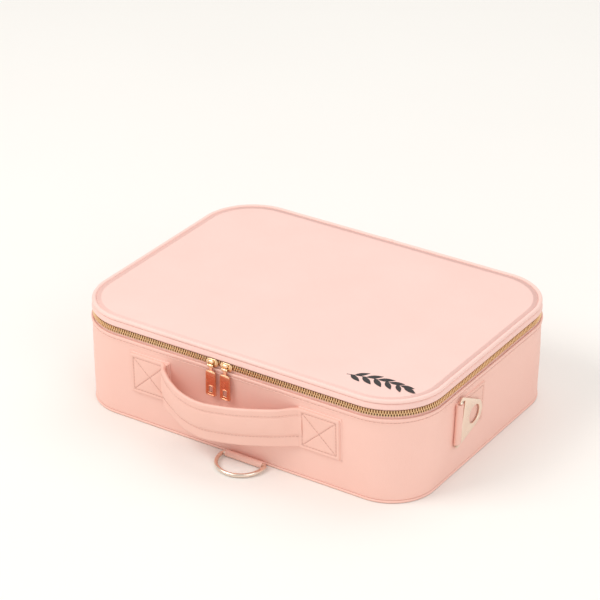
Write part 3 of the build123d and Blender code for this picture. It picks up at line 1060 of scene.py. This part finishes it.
def makeHandle():
    h = handleShape
    half = h["thick"] / 2
    face = smoothLine([(x * mm, o * mm) for x, o in h["line"]], 1.3 * mm)
    centres = []
    normals = []
    for i, p in enumerate(face):
        along = (face[min(i + 1, len(face) - 1)] - face[max(i - 1, 0)]).normalized()
        normal = Vector((-along.y, along.x, 0))
        centres.append(p - normal * half)
        normals.append(normal)
    across = np.linspace(h["width"] / 2, -h["width"] / 2, 67)
    ring = [(v, strapFace(v)[0], 0) for v in across]
    ring += [(v, strapFace(v)[1], 1) for v in across[::-1][1:-1]]
    leftCut = min(range(len(centres)), key=lambda i: abs(centres[i].x - h["leftJoin"]))
    rightCut = min(range(len(centres)), key=lambda i: abs(centres[i].x - h["rightJoin"]))
    parts = [
        ("handleLeftEnd", 0, leftCut, ["handle_ramp_left"]),
        ("handleGrip", leftCut, rightCut, ["handle_grip", "handle_grip_lining"]),
        ("handleRightEnd", rightCut, len(centres) - 1, ["handle_ramp_right"]),
    ]
    cols = len(ring)
    for name, first, last, nodes in parts:
        verts = []
        for i in range(first, last + 1):
            for v, w, side in ring:
                wrinkle = noise.noise(Vector((centres[i].x * 90, v * 60, 2.0))) * 0.22 * mm
                wrinkle *= 1 if side == 0 and abs(v) < 20 * mm else 0
                verts.append(strapPoint(centres[i], normals[i], v, w + wrinkle))
        faces = ringFaces(last - first + 1, cols, capped=True)
        # the lining shows on the back and at the cut ends, in a darker cloth that is partly painted
        # shade for the inside of the strap, which faces the wall
        lined = [1 if ring[c][2] or ring[(c + 1) % cols][2] else 0 for c in range(cols)]
        inner = lined * (last - first) + [1, 1]
        strap = finishMesh(name, verts, faces, paints["strapCloth"], sharp=50)
        strap.data.materials.append(paints["liningAndShadeCloth"])
        for polygon, which in zip(strap.data.polygons, inner):
            polygon.material_index = which
        places = []
        for row in (h["upperCrease"] + 1.5 * mm, h["lowerFold"] - 1.6 * mm):
            line = []
            ways = []
            for i in range(first, last + 1):
                height = strapFace(row)[0] + 0.08 * mm
                line.append(Vector(strapPoint(centres[i], normals[i], row, height)))
                above = Vector(strapPoint(centres[i], normals[i], row, height + mm))
                ways.append(above - line[-1])
            places += stitchPlaces(line, ways, h["stitchPitch"])
        stitches = scatter(
            name + "Stitches", capsule(h["stitchLength"], h["threadRadius"]), places,
            paints["thread"], None,
        )
        for piece in (strap, stitches):
            if name == "handleGrip":
                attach(piece, "handle")
                continue
            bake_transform(piece)
        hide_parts(*nodes)


patchShape = {
    "length": 46.0 * mm,
    "height": 44.0 * mm,
    "middle": 99.0 * mm,
    "thick": 2.0 * mm,
    "backing": 1.0 * mm,
    "margin": 1.5 * mm,
    "stitchIn": 3.9 * mm,
    "round": 1.2 * mm,
    "puff": 0.35 * mm,
}


def boxSeam(x, y, halfX, halfY):
    # distance to the nearest seam of a box with a cross in it
    across = abs(abs(x) - halfX) if abs(y) <= halfY + 0.5 * mm else 1
    upright = abs(abs(y) - halfY) if abs(x) <= halfX + 0.5 * mm else 1
    length = math.hypot(halfX, halfY)
    cross = 1
    if abs(x) <= halfX and abs(y) <= halfY:
        cross = min(abs(x * halfY - y * halfX), abs(x * halfY + y * halfX)) / length
    return min(across, upright, cross)


def boxStitches(place, halfX, halfY, height, cross=True):
    corners = [(-halfX, -halfY), (halfX, -halfY), (halfX, halfY), (-halfX, halfY)]
    lines = list(zip(corners, corners[1:] + corners[:1]))
    if cross:
        lines += [(corners[0], corners[2]), (corners[1], corners[3])]
    places = []
    out = Vector(place[:3, 2])
    for a, b in lines:
        ends = [Vector(place[:3, :3] @ np.array((x, y, height)) + place[:3, 3]) for x, y in (a, b)]
        places += stitchPlaces(ends, [out, out], handleShape["stitchPitch"])
    return places


def makePatches():
    s = patchShape
    halfX = s["length"] / 2 - s["stitchIn"]
    halfY = s["height"] / 2 - s["stitchIn"]

    def patchTop(x, y, edge):
        seam = boxSeam(x, y, halfX, halfY)
        rise = s["thick"] * softStep(edge, s["round"])
        rise += s["puff"] * (1 - math.exp(-seam / (2.5 * mm))) * softStep(edge, s["round"])
        rise -= 0.55 * mm * math.exp(-(seam / (0.6 * mm)) ** 2)
        return s["backing"] + rise

    def backingTop(x, y, edge):
        return s["backing"] * (0.3 + 0.7 * softStep(edge, 0.6 * mm))

    for side, sign in (("left", -1), ("right", 1)):
        place = turned(frontPlace, (sign * s["middle"], 0, 0))
        label = side.capitalize()
        under = gridPad(
            "patchBacking" + label, s["length"] + 2 * s["margin"], s["height"] + 2 * s["margin"],
            backingTop, 0, place, paints["wallCloth"], "case", step=0.8 * mm, corner=1.5 * mm,
        )
        patch = gridPad(
            "handlePatch" + label, s["length"], s["height"], patchTop, 0.6 * mm, place,
            paints["strapCloth"], "case", step=0.5 * mm, corner=1.6 * mm,
        )
        height = s["backing"] + s["thick"] - 0.22 * mm
        places = boxStitches(place, halfX, halfY, height)
        seams = scatter(
            "patchStitches" + label,
            capsule(handleShape["stitchLength"], handleShape["threadRadius"]), places,
            paints["thread"], "case",
        )
        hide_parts("handle_backing_" + side)
        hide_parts("handle_patch_" + side)


makePatches()
makeHandle()
print("handle done")

sliderShape = {
    "length": 13.0,
    "height": 8.2,
    "plate": 1.4,
    "corner": 3.0,
    "pinRadius": 0.9,
    "lugRadius": 1.8,
    "lugThick": 1.3,
    "eyeLength": 3.4,
    "eyeRadius": 1.88,
    "pull": 33.0,
    "pullWidth": 12.0,
    "pullThick": 1.8,
    "windowWidth": 4.6,
    "windowTall": 6.4,
    "windowUp": 7.2,
    "windowRound": 0.9,
    "windowRim": 0.85,
    "shoulderRound": 2.6,
    "shoulderY": -8.0,
    "footRound": 2.2,
    "panelTop": -8.1,
    "panelMargin": 1.3,
    "crown": (6.4, 3.6, 3.9),
    "rail": (1.5, 1.5, 6.2),
    "railX": 4.9,
    "armDeep": 2.6,
    "armTall": 3.4,
}


def pullOutline():
    # narrow neck, round shoulders, slightly wider at the foot
    s = sliderShape
    half = s["pullWidth"] / 2
    foot = -s["pull"]
    right = [(1.7, -1.3), (1.7, -4.2), (1.95, -4.8), (2.6, -5.3)]
    shoulder = s["shoulderRound"]
    corner = s["footRound"]
    right += arcPoints(shoulder, 90, 0, 8, half - shoulder, s["shoulderY"])
    right += arcPoints(corner, 0, -90, 8, half - corner, foot + corner)
    right = [(x * (0.9 + 0.1 * min(1, y / foot)), y) for x, y in right]
    return right + [(-x, y) for x, y in reversed(right)]


def makeSliders():
    s = sliderShape
    outline = pullOutline()
    windowY = -s["pull"] + s["windowUp"]
    window = roundedOutline(s["windowWidth"], s["windowTall"], s["windowRound"], 0, windowY)
    windowRim = roundedOutline(
        s["windowWidth"] + 2 * s["windowRim"], s["windowTall"] + 2 * s["windowRim"], 1.5, 0, windowY
    )
    panelTall = s["pull"] + s["panelTop"] - s["panelMargin"]
    panel = roundedOutline(
        s["pullWidth"] * 0.94 - 2.4, panelTall, 1.5, 0, s["panelTop"] - panelTall / 2
    )
    for side in ("left", "right"):
        joint = hinge["pull_" + side + "_flip"]
        pin = Vector(joint["pos_m"])
        low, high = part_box("slider_" + side)
        upright = placeMatrix(pin, (1, 0, 0), (0, 0, 1), (0, -1, 0))
        sideways = placeMatrix(pin, (0, 0, 1), (0, -1, 0), (-1, 0, 0))
        label = side.capitalize()
        gold = paints["sliderGold"]
        rider = "slider_" + side
        middle = (pin.x, high.y - s["plate"] / 2 * mm, (low.z + high.z) / 2)
        body = cutPlate(
            "sliderBody" + label, roundedOutline(s["length"], s["height"], s["corner"]), [],
            s["plate"], 0.5, placeMatrix(middle, (1, 0, 0), (0, 0, 1), (0, -1, 0)), gold, rider,
        )
        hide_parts(rider)
        crown = roundBox(*(size * mm for size in s["crown"]), 1.5 * mm, 5)
        crownPlace = placeMatrix((pin.x, high.y - 2.6 * mm, high.z - 2.2 * mm))
        scatter("sliderCrown" + label, crown, [crownPlace], gold, rider)
        rails = [
            placeMatrix((pin.x + x * mm, high.y - 1.7 * mm, (low.z + high.z) / 2))
            for x in (-s["railX"], s["railX"])
        ]
        rail = roundBox(*(size * mm for size in s["rail"]), 0.6 * mm, 4)
        scatter("sliderRails" + label, rail, rails, gold, rider)
        for number, way in enumerate((-1, 1)):
            reach = s["eyeLength"] / 2 + 0.15 + s["lugThick"] / 2
            lugPlace = turned(sideways, (0, 0, way * reach * mm))
            cutPlate(
                "sliderLug" + label + str(number), circleOutline(s["lugRadius"]), [],
                s["lugThick"], 0.3, lugPlace, gold, rider,
            )
            arm = roundBox(
                s["lugThick"] * mm, s["armDeep"] * mm, s["armTall"] * mm, 0.4 * mm, 3
            )
            armPlace = placeMatrix((pin.x + way * reach * mm, pin.y + 1.2 * mm, pin.z))
            scatter("sliderArm" + label + str(number), arm, [armPlace], gold, rider)
        pinEnds = [pin + Vector((k * 0.9 * mm, 0, 0)) for k in range(-3, 4)]
        tube("sliderPin" + label, pinEnds, s["pinRadius"] * mm, gold, rider)
        rose = paints["pullGold"]
        rider = "pull_" + side
        tag = cutPlate("pullTag" + label, outline, [window], 1.2, 0.3, upright, rose, rider)
        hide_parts(rider)
        frameOutline = [(x, y) for x, y in outline if y < -5.5]
        rim = cutPlate(
            "pullRim" + label, frameOutline, [panel], s["pullThick"], 0.35, upright,
            paints["pullHighlight"], rider,
        )
        ring = cutPlate(
            "pullWindow" + label, windowRim, [window], 1.7, 0.3, upright, paints["pullHighlight"], rider
        )
        eye = cutPlate(
            "pullEye" + label, circleOutline(s["eyeRadius"]), [circleOutline(0.98)],
            s["eyeLength"], 0.3, sideways, paints["pullHighlight"], rider,
        )


makeSliders()
print("sliders and pulls done")

ringShape = {
    "wire": 2.0 * mm,
    "half": 25.0 * mm,
    "leg": 4.5 * mm,
    "corner": 3.0 * mm,
    "tilt": math.radians(2.1),
    "tabWidth": 43.0,
    "loopRadius": 3.28,
    "ply": 1.2,
}


def makeRing():
    r = ringShape
    bar = Vector(hinge["d_ring_swing"]["pos_m"])
    half = r["half"]
    corner = r["corner"]
    flat = []
    for k in range(12):
        flat.append((-(half - corner) + (half - corner) * 2 * k / 12, 0))
    flat += arcPoints(corner, 90, 0, 8, half - corner, -corner)
    flat += arcPoints(half, 0, -180, 60, 0, -r["leg"])
    flat += arcPoints(corner, 180, 90, 8, corner - half, -corner)[:-1]
    points = []
    for x, y in flat:
        points.append((
            bar.x + x, bar.y + y * math.cos(r["tilt"]), bar.z + y * math.sin(r["tilt"])
        ))
    ring = tube("dRing", points, r["wire"], paints["ringMetal"], "d_ring", closed=True, around=24)
    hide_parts("d_ring")
    # the tab is a strip folded close round the ring's bar
    welt = (weltLow.y - bar.y) / mm
    outer = r["loopRadius"]
    top = -outer + 2 * r["ply"]
    tail = abs(welt)
    outline = arcPoints(outer, 5, 270, 26)
    outline += [(tail, -outer), (tail, top), (outer + 0.25, top + 0.25)]
    place = placeMatrix(bar, (0, 1, 0), (0, 0, 1), (1, 0, 0))
    tab = cutPlate(
        "dRingTab", outline, [circleOutline(2.05)], r["tabWidth"], 0.45, place,
        paints["strapCloth"], "case",
    )
    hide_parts("d_ring_tab")


makeRing()
print("ring done")

plateShape = {
    "span": 54.0,
    "reach": 45.0,
    "tipRadius": 14.5,
    "corner": 5.0,
    "arm": 4.2,
    "slot": 5.4,
    "hole": 9.75,
    "holeAt": 30.0,
    "bar": 2.0,
    "thick": 1.6,
    "droop": math.radians(6.0),
    "loopRadius": 3.38,
    "loopWide": 1.35,
    "tabLength": 53.0 * mm,
    "tabHeight": 44.0 * mm,
    "tabPly": 1.3 * mm,
}


def plateOutline():
    # rounded triangle with two prongs that hold the bar
    p = plateShape
    half = p["span"] / 2
    edge = p["corner"] - p["bar"]
    hull = hullOutline([
        (edge, half - p["corner"], p["corner"]), (edge, p["corner"] - half, p["corner"]),
        (p["reach"] - p["tipRadius"], 0, p["tipRadius"]),
    ])
    slotHalf = half - p["arm"]
    kept = [q for q in hull if not (q[0] < edge and abs(q[1]) < slotHalf)]
    start = next(
        i for i, q in enumerate(kept)
        if q[0] < edge and q[1] < 0 and kept[i - 1][0] < edge and kept[i - 1][1] > 0
    )
    kept = kept[start:] + kept[:start]
    inner = p["slot"] + p["bar"]
    notch = [(-1.9, slotHalf), (inner - 0.8, slotHalf), (inner, slotHalf - 0.8)]
    notch += [(inner, 0.8 - slotHalf), (inner - 0.8, -slotHalf), (-1.9, -slotHalf)]
    return kept + notch


def makeSideFittings():
    p = plateShape
    for side, sign in (("right", 1), ("left", -1)):
        joint = hinge["plate_" + side + "_swing"]
        bar = Vector(joint["pos_m"])
        out = Vector((sign * math.cos(leanAngle), 0, -math.sin(leanAngle)))
        wall = wallPlace(bar - out * p["loopRadius"] * mm, (0, 1, 0), out)
        label = side.capitalize()
        hung = turned(wall, (0, 0, p["loopRadius"] * mm), -sign * p["droop"])
        rider = "plate_" + side
        plate = cutPlate(
            "strapPlate" + label, plateOutline(), [circleOutline(p["hole"], p["holeAt"], 0, 64)],
            p["thick"], 0.5, hung, paints["plateMetal"], rider,
        )
        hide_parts("strap_plate_" + side)
        reach = p["span"] / 2 - p["arm"] + 1
        rod = [
            Vector(hung[:3, 3]) + Vector(hung[:3, 1]) * (reach * mm * (k / 6 - 1))
            for k in range(13)
        ]
        barPiece = tube("strapBar" + label, rod, p["bar"] * mm, paints["plateMetal"], rider)

        def tabTop(x, y, edge):
            seam = abs(edge - 3.6 * mm)
            rise = p["tabPly"] * softStep(edge, 1.0 * mm)
            rise += 0.3 * mm * (1 - math.exp(-seam / (3 * mm))) * softStep(edge, 1.0 * mm)
            return rise - 0.35 * mm * math.exp(-(seam / (0.5 * mm)) ** 2)

        middle = turned(wall, (p["tabLength"] / 2, 0, 0))
        tab = gridPad(
            "sideTab" + label, p["tabLength"], p["tabHeight"], tabTop, -0.3 * mm, middle,
            paints["strapCloth"], "case", step=0.6 * mm, corner=2.5 * mm,
        )
        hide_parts("strap_tab_" + side)
        seam = scatter(
            "sideTabStitches" + label, capsule(2.6 * mm, 0.3 * mm),
            boxStitches(
                middle, p["tabLength"] / 2 - 3.6 * mm, p["tabHeight"] / 2 - 3.6 * mm,
                p["tabPly"] - 0.1 * mm, cross=False,
            ),
            paints["thread"], "case",
        )
        level = turned(wall, (0, 0, p["loopRadius"] * mm))
        loopPlace = placeMatrix(level[:3, 3], level[:3, 0], level[:3, 2], -level[:3, 1])
        outer = p["loopRadius"]
        ring = [(x * p["loopWide"], y) for x, y in arcPoints(outer, -40, 240, 48)]
        ring += [(-outer * 1.1, -outer + 0.05), (outer * 1.2, -outer + 0.05)]
        loop = cutPlate(
            "sideLoop" + label, ring, [circleOutline(2.06)], p["tabHeight"] / mm, 0.4,
            loopPlace, paints["strapCloth"], "case",
        )


makeSideFittings()
print("strap plates done")

def backOnly(pos):
    # keeps the stretch of a ring that has no zip
    return (pos[:, 1] > 0) & (np.abs(pos[:, 0]) < zipShape["openEnd"] + 0.8 * mm)


def zipOnly(pos):
    return ~((pos[:, 1] > 0) & (np.abs(pos[:, 0]) < zipShape["openEnd"] - 1.2 * mm))


gussetShape = {
    "outer": -2.55 * mm,
    "thick": 0.9 * mm,
    "crumple": 0.45 * mm,
    "rowStep": 0.9 * mm,
}


def makeGusset():
    g = gussetShape
    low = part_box("hinge_gusset_lower")[0].z
    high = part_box("hinge_gusset_upper")[1].z
    rows = np.arange(low, high, g["rowStep"])
    profile = [(g["outer"], z) for z in rows]
    profile += [(g["outer"] - g["thick"], z) for z in rows[::-1]]

    def crumple(pos, out, z):
        bend = math.exp(-((z - hinge["lid_hinge"]["pos_m"][2]) / (3.5 * mm)) ** 2)
        fine = np.array([noise.noise(Vector((x * 55, z * 90, 1.0))) for x, _ in pos])
        return fine * g["crumple"] * 0.4 - g["crumple"] * bend, 0

    gusset = sweepRing(
        "hingeGusset", profile, paints["wallCloth"], None, shift=crumple, keep=backOnly
    )
    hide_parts("hinge_gusset_lower", "hinge_gusset_upper")
    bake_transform(gusset)


def makeZipPaintedShade():
    # a dark strip just behind the teeth: painted shade and painted reflection for the dark brown gaps
    # between the gold teeth
    middle = (teethHigh.z + upperTeethLow.z) / 2
    outer = -(caseShape["halfX"] - (teethHigh.x - zipShape["shadeSunk"]))
    inner = outer - zipShape["shadeThick"]
    for half, body, sign in (("lower", "case", -1), ("upper", "lid", 1)):
        levels = [middle + sign * z * mm for z in (0.06, 0.5, 1.2, 2.0)]
        profile = [(outer, z) for z in levels] + [(inner, z) for z in levels[::-1]]
        core = sweepRing(
            "zipPaintedShade" + half.capitalize(), profile, paints["zipPaintedShade"], body, keep=zipOnly
        )


def makeTapes():
    for half, body in (("lower", "case"), ("upper", "lid")):
        low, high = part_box("zip_tape_" + half)
        outer = -(caseShape["halfX"] - high.x)
        inner = outer - 0.8 * mm
        levels = np.linspace(low.z, high.z, 8)
        profile = [(outer, z) for z in levels] + [(inner, z) for z in levels[::-1]]

        def ripple(pos, out, z):
            wave = np.array([noise.noise(Vector((x * 70, y * 70, z * 50))) for x, y in pos])
            return wave * 0.09 * mm, 0

        tape = sweepRing(
            "zipTape" + half.capitalize(), profile, paints["tape"], body, shift=ripple, keep=zipOnly
        )
        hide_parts("zip_tape_" + half)
        repaint("zip_stops_" + half, "zipGold")


makeGusset()
makeZipPaintedShade()
makeTapes()
print("gusset and tapes done")

insideShape = {
    "wave": 0.3 * mm,
    "liningOut": -7.0 * mm,
    "liningThick": 0.7 * mm,
    "lidRingOut": -5.95 * mm,
    "dividerRound": 2.8 * mm,
    "dividerCorner": 5.0 * mm,
    "quilt": 30.0 * mm,
    "loopPitch": 28.0 * mm,
    "ringStep": 2.6 * mm,
    "dividerGap": 7.9 * mm,
    "dividerApart": 0.3 * mm,
    "elasticWidth": 36 * mm,
    "flapCorner": 12,
    "flapBinding": 6,
}


def softLining(pos, out, z):
    wave = np.array([noise.noise(Vector((x * 18, y * 18, z * 26))) for x, y in pos])
    return (wave * 0.5 + 0.5) * insideShape["wave"] * (-1 if out < -7.4 * mm else 0), 0


def panelWave(scale, size):
    def height(x, y, edge):
        return size * (0.5 + 0.5 * noise.noise(Vector((x * scale, y * scale, 4.0)))) * (
            1 - math.exp(-edge / (5 * mm))
        )
    return height


def makeLinings():
    s = insideShape
    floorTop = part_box("base_lining")[1].z
    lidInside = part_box("lid_lining")
    levels = np.linspace(floorTop + 0.1 * mm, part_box("wall_lining")[1].z - 2 * mm, 18)
    inner = s["liningOut"] - s["liningThick"]
    profile = [(s["liningOut"], z) for z in levels] + [(inner, z) for z in levels[::-1]]
    wall = sweepRing(
        "wallLining", profile, paints["lining"], "case", shift=softLining, step=s["ringStep"]
    )
    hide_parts("wall_lining")
    floor = makePanel(
        "baseLining", 7.0 * mm, floorTop - 0.35 * mm, floorTop - 0.8 * mm,
        panelWave(16, s["wave"]), paints["lining"], "case", 1,
    )
    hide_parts("base_lining")
    ceiling = makePanel(
        "lidLining", 5.95 * mm, lidInside[1].z - 0.4 * mm, lidInside[1].z,
        panelWave(14, s["wave"]), paints["lining"], "lid", -1,
    )
    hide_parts("lid_lining")
    low = lidInside[0].z
    high = lidInside[1].z - 0.2 * mm
    o = s["lidRingOut"]
    ring = sweepRing(
        "lidLiningSide",
        [
            (o, low), (o - 0.3 * mm, low - 0.05 * mm), (o - 0.7 * mm, low + 0.3 * mm),
            (o - 0.75 * mm, high), (o, high),
        ],
        paints["lining"], "lid", step=s["ringStep"],
    )
    rows = [(-3.4, -3.4), (-3.45, -1.0), (-3.9, -0.35), (-4.8, -0.1), (-6.0, -0.1), (-7.0, -0.35)]
    rows += [(-7.6, -1.0), (-7.8, -3.4)]
    binding = sweepRing(
        "wallRimBinding", inMetres(rows, caseShape["foldZ"]), paints["wallCloth"], "case",
        step=s["ringStep"],
    )
    rows = [(-2.9, 0.5), (-3.0, 0.12), (-3.6, 0.0), (-5.2, 0.0), (-6.0, 0.25)]
    rows += [(-6.3, 1.2), (-5.4, 1.4)]
    lidBinding = sweepRing(
        "lidRimBinding", inMetres(rows, bandLow.z), paints["lidCloth"], "lid",
        step=s["ringStep"],
    )
    under = makePanel(
        "baseUnder", 2.4 * mm, 0.32 * mm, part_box("base_cover")[1].z,
        panelWave(20, 0.3 * mm), paints["wallCloth"], "case", -1,
    )
    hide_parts("base_cover")


def makeDivider(name, node, along, ends):
    # a padded upright panel between two ends that follow the leaning walls
    s = insideShape
    low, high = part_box(node)
    across = "y" if along == "x" else "x"
    fixed = (getattr(low, across) + getattr(high, across)) / 2
    half = (getattr(high, across) - getattr(low, across)) / 2
    tall = high.z - low.z
    long = ends(high.z)[1] - ends(high.z)[0]
    nx = max(8, round(long / (3 * mm)))
    nz = 24
    grid = []
    for j in range(nz + 1):
        for i in range(nx + 1):
            # closer rows near the rim, so that its roundness is smooth
            u = math.sin(math.pi / 2 * (2 * i / nx - 1)) if nx < 30 else 2 * i / nx - 1
            if nx >= 30:
                u = u * 0.72 + 0.28 * u ** 9 if abs(u) < 1 else u
            v = math.sin(math.pi / 2 * (2 * j / nz - 1))
            x, z = roundCorner(u * long / 2, v * tall / 2, long / 2, tall / 2, s["dividerCorner"])
            grid.append((x, z, min(long / 2 - abs(x), tall / 2 - abs(z))))
    verts = []
    index = {}
    for side in (1, -1):
        for k, (x, z, edge) in enumerate(grid):
            rim = k % (nx + 1) in (0, nx) or k // (nx + 1) in (0, nz)
            if side == -1 and rim:
                index[(side, k)] = index[(1, k)]
                continue
            wrinkle = noise.noise(Vector((x * 30, z * 30, fixed * 40 + side))) * 0.25 * mm
            puff = half * softStep(max(edge, 0), s["dividerRound"])
            puff -= (0.25 * mm - wrinkle) * min(1, max(edge, 0) / (4 * mm))
            height = low.z + tall / 2 + z
            a, b = ends(height)
            place = a + (b - a) * (x / long + 0.5)
            index[(side, k)] = len(verts)
            if along == "x":
                verts.append((place, fixed + side * puff, height))
            else:
                verts.append((fixed + side * puff, place, height))
    faces = []
    for side in (1, -1):
        for j in range(nz):
            for i in range(nx):
                a = j * (nx + 1) + i
                quad = (a, a + 1, a + nx + 2, a + nx + 1)
                quad = quad if side == 1 else quad[::-1]
                faces.append(tuple(index[(side, q)] for q in quad))
    if along == "x":
        faces = [f[::-1] for f in faces]
    piece = finishMesh(name, verts, faces, paints["lining"], "case")
    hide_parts(node)


def makeDividers():
    gap = insideShape["dividerGap"]
    apart = insideShape["dividerApart"]
    longLow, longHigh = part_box("divider_long")
    makeDivider(
        "dividerLong", "divider_long", "x", lambda z: (-wallAt(z)[0] + gap, wallAt(z)[0] - gap)
    )
    for side in ("left", "right"):
        label = side.capitalize()
        makeDivider(
            "dividerFront" + label, "divider_front_" + side, "y",
            lambda z: (-wallAt(z)[1] + gap, longLow.y - apart),
        )
        makeDivider(
            "dividerBack" + label, "divider_back_" + side, "y",
            lambda z: (longHigh.y + apart, wallAt(z)[1] - gap),
        )


def makeBrushHolder():
    s = insideShape
    low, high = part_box("brush_panel")
    thick = high.z - low.z
    facing = wallPlace((0, 0, high.z), (1, 0, 0), (0, 0, -1))

    def quiltTop(x, y, edge):
        seam = 1
        for way in (x + y, x - y):
            part = way / s["quilt"]
            seam = min(seam, abs(part - round(part)) * s["quilt"] / math.sqrt(2))
        full = 1 - 0.6 * math.exp(-(seam / (1.1 * mm)) ** 2)
        return thick * (0.3 + 0.7 * softStep(edge, 1.4 * mm) * full)

    panel = gridPad(
        "brushPanel", high.x - low.x, high.y - low.y, quiltTop, 0, facing,
        paints["lining"], "lid", step=1.5 * mm, corner=10 * mm,
    )
    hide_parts("brush_panel")
    low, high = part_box("brush_elastic")
    width = s["elasticWidth"]

    def loopTop(x, y, edge):
        return 0.3 * mm + 0.66 * mm * abs(math.cos(math.pi * x / s["loopPitch"])) ** 0.7 * min(
            1, edge / (0.8 * mm) + 0.3
        )

    for number, y in enumerate((low.y + width / 2, high.y - width / 2)):
        place = wallPlace((0, y, high.z), (1, 0, 0), (0, 0, -1))
        band = gridPad(
            "brushElastic" + str(number), high.x - low.x, width, loopTop, 0, place,
            paints["elastic"], "lid", step=1.1 * mm, corner=1 * mm,
        )
        if number == 0:
            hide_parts("brush_elastic")
    repaint("brush_flap", "film")
    low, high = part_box("brush_flap")
    wide = (high.x - low.x) / mm
    tall = (high.y - low.y) / mm
    bound = 2 * s["flapBinding"]
    edge = cutPlate(
        "flapBinding", roundedOutline(wide, tall, s["flapCorner"]),
        [roundedOutline(wide - bound, tall - bound, 7)], 0.9, 0.3,
        placeMatrix((0, 0, low.z + 0.35 * mm)), paints["pipingCloth"], "lid",
    )


makeLinings()
makeDividers()
makeBrushHolder()
for node, paint, slotName in (
    ("wall_board", "board", "board"), ("base_board", "board", "board"),
    ("lid_board", "board", "board"), ("lid_rim_board", "board", "board"),
    ("lid_foam", "foam", "foam"),
):
    repaint(node, paint)
print("inside done")

sprigShape = {
    "centre": (139.5 * mm, -115.0 * mm),
    "angle": math.radians(8),
    "length": 60.0 * mm,
    "leafLong": 17.0 * mm,
    "leafWide": 6.2 * mm,
    "pairs": 5,
    "lift": 0.06 * mm,
}


def leafBase():
    # one flat leaf pointing along x, a little domed
    verts = []
    stations = 14
    for i in range(stations + 1):
        t = i / stations
        half = 0.5 * math.sin(math.pi * t ** 0.85) ** 0.9 + 0.004
        for y, z in ((-half, 0), (-half * 0.8, 0.14), (0, 0.2), (half * 0.8, 0.14), (half, 0)):
            verts.append((t, y, z))
    faces = ringFaces(stations + 1, 5)
    faces.append((0, 1, 2, 3, 4))
    faces.append(tuple(stations * 5 + k for k in (4, 3, 2, 1, 0)))
    return np.array(verts), [f[::-1] for f in faces]


def makeSprig():
    # a small printed leaf sprig near the lid's front corner
    s = sprigShape
    lid = bpy.data.objects["lidTop"]
    tree = BVHTree.FromPolygons(
        [v.co for v in lid.data.vertices], [p.vertices for p in lid.data.polygons]
    )

    def surface(x, y):
        hit = tree.ray_cast(Vector((x, y, 0.2)), Vector((0, 0, -1)))[0]
        return hit.z

    along = Vector((math.cos(s["angle"]), math.sin(s["angle"])))
    side = Vector((-along.y, along.x))

    def spot(t):
        bow = 3.0 * mm * math.sin(2.6 * t + 0.2)
        return Vector(s["centre"]) + along * (t - 0.5) * s["length"] + side * bow

    def leafPlace(start, angle, size):
        x = Vector((math.cos(angle), math.sin(angle), 0))
        y = Vector((-x.y, x.x, 0))
        origin = (start.x, start.y, surface(start.x, start.y) + s["lift"] - 0.04 * mm)
        return placeMatrix(
            origin, x * s["leafLong"] * size, y * s["leafWide"] * size, (0, 0, mm)
        )

    places = []
    for k in range(s["pairs"]):
        t = 0.1 + 0.78 * k / (s["pairs"] - 1)
        size = 1.0 - 0.07 * abs(k - 1.5)
        for way in (-1, 1):
            places.append(leafPlace(
                spot(t + 0.03 * way), s["angle"] + way * (0.62 - 0.03 * k) - 0.12 * k, size
            ))
    places.append(leafPlace(spot(0.97), s["angle"] - 0.45, 0.95))
    leaves = scatter("sprigLeaves", leafBase(), places, paints["print"], "lid")
    stem = []
    for k in range(31):
        p = spot(k / 30)
        stem.append((p.x, p.y, surface(p.x, p.y) + s["lift"]))
    line = tube("sprigStem", stem, 0.5 * mm, paints["print"], "lid", around=10)
    for vert in line.data.vertices:
        middle = surface(vert.co.x, vert.co.y)
        vert.co.z = middle + (vert.co.z - middle) * 0.25


makeSprig()
print("sprig done")

stageShape = {
    "floorSize": 9,
    "floorColour": (0.91, 0.897, 0.872),
    "floorShade": (0.90, 0.885, 0.86),
    "skyColour": (1.0, 0.985, 0.96, 1),
    "skyLight": 0.70,
    "lampAim": (0, 0, 0.05),
    # name, place, size, power and colour
    "lamps": [
        ("keyLamp", (-1.3, -1.5, 2.2), 1.4, 31, (1.0, 0.97, 0.93)),
        ("fillLamp", (1.8, -0.9, 1.3), 1.4, 9, (1.0, 0.98, 0.96)),
        ("topLamp", (0.2, 1.2, 2.4), 2.0, 14, (1.0, 0.99, 0.98)),
    ],
}


def makeStage():
    s = stageShape
    bpy.ops.mesh.primitive_plane_add(size=s["floorSize"], location=(0, 0, 0))
    floor = bpy.context.object
    floor.name = "floor"
    material, tree, shader, where = startMaterial("pale_floor", s["floorShade"], 0.75)
    mottle = noiseNode(tree, where, 3, 3, 0.5)
    tintBy(tree, shader, mottle.outputs["Fac"], s["floorShade"], s["floorColour"])
    shader.inputs["Specular IOR Level"].default_value = 0.2
    floor.data.materials.append(material)
    world = bpy.data.worlds.new("studio")
    world.use_nodes = True
    sky = world.node_tree.nodes["Background"]
    sky.inputs["Color"].default_value = s["skyColour"]
    sky.inputs["Strength"].default_value = s["skyLight"]
    bpy.context.scene.world = world
    for name, place, size, power, colour in s["lamps"]:
        data = bpy.data.lights.new(name, "AREA")
        data.size = size
        data.energy = power
        data.color = colour
        lamp = bpy.data.objects.new(name, data)
        lamp.location = place
        aim = Vector(s["lampAim"]) - Vector(place)
        lamp.rotation_euler = aim.to_track_quat("-Z", "Y").to_euler()
        bpy.context.scene.collection.objects.link(lamp)
    bpy.context.scene.view_settings.view_transform = "Standard"


makeStage()
print("stage done")
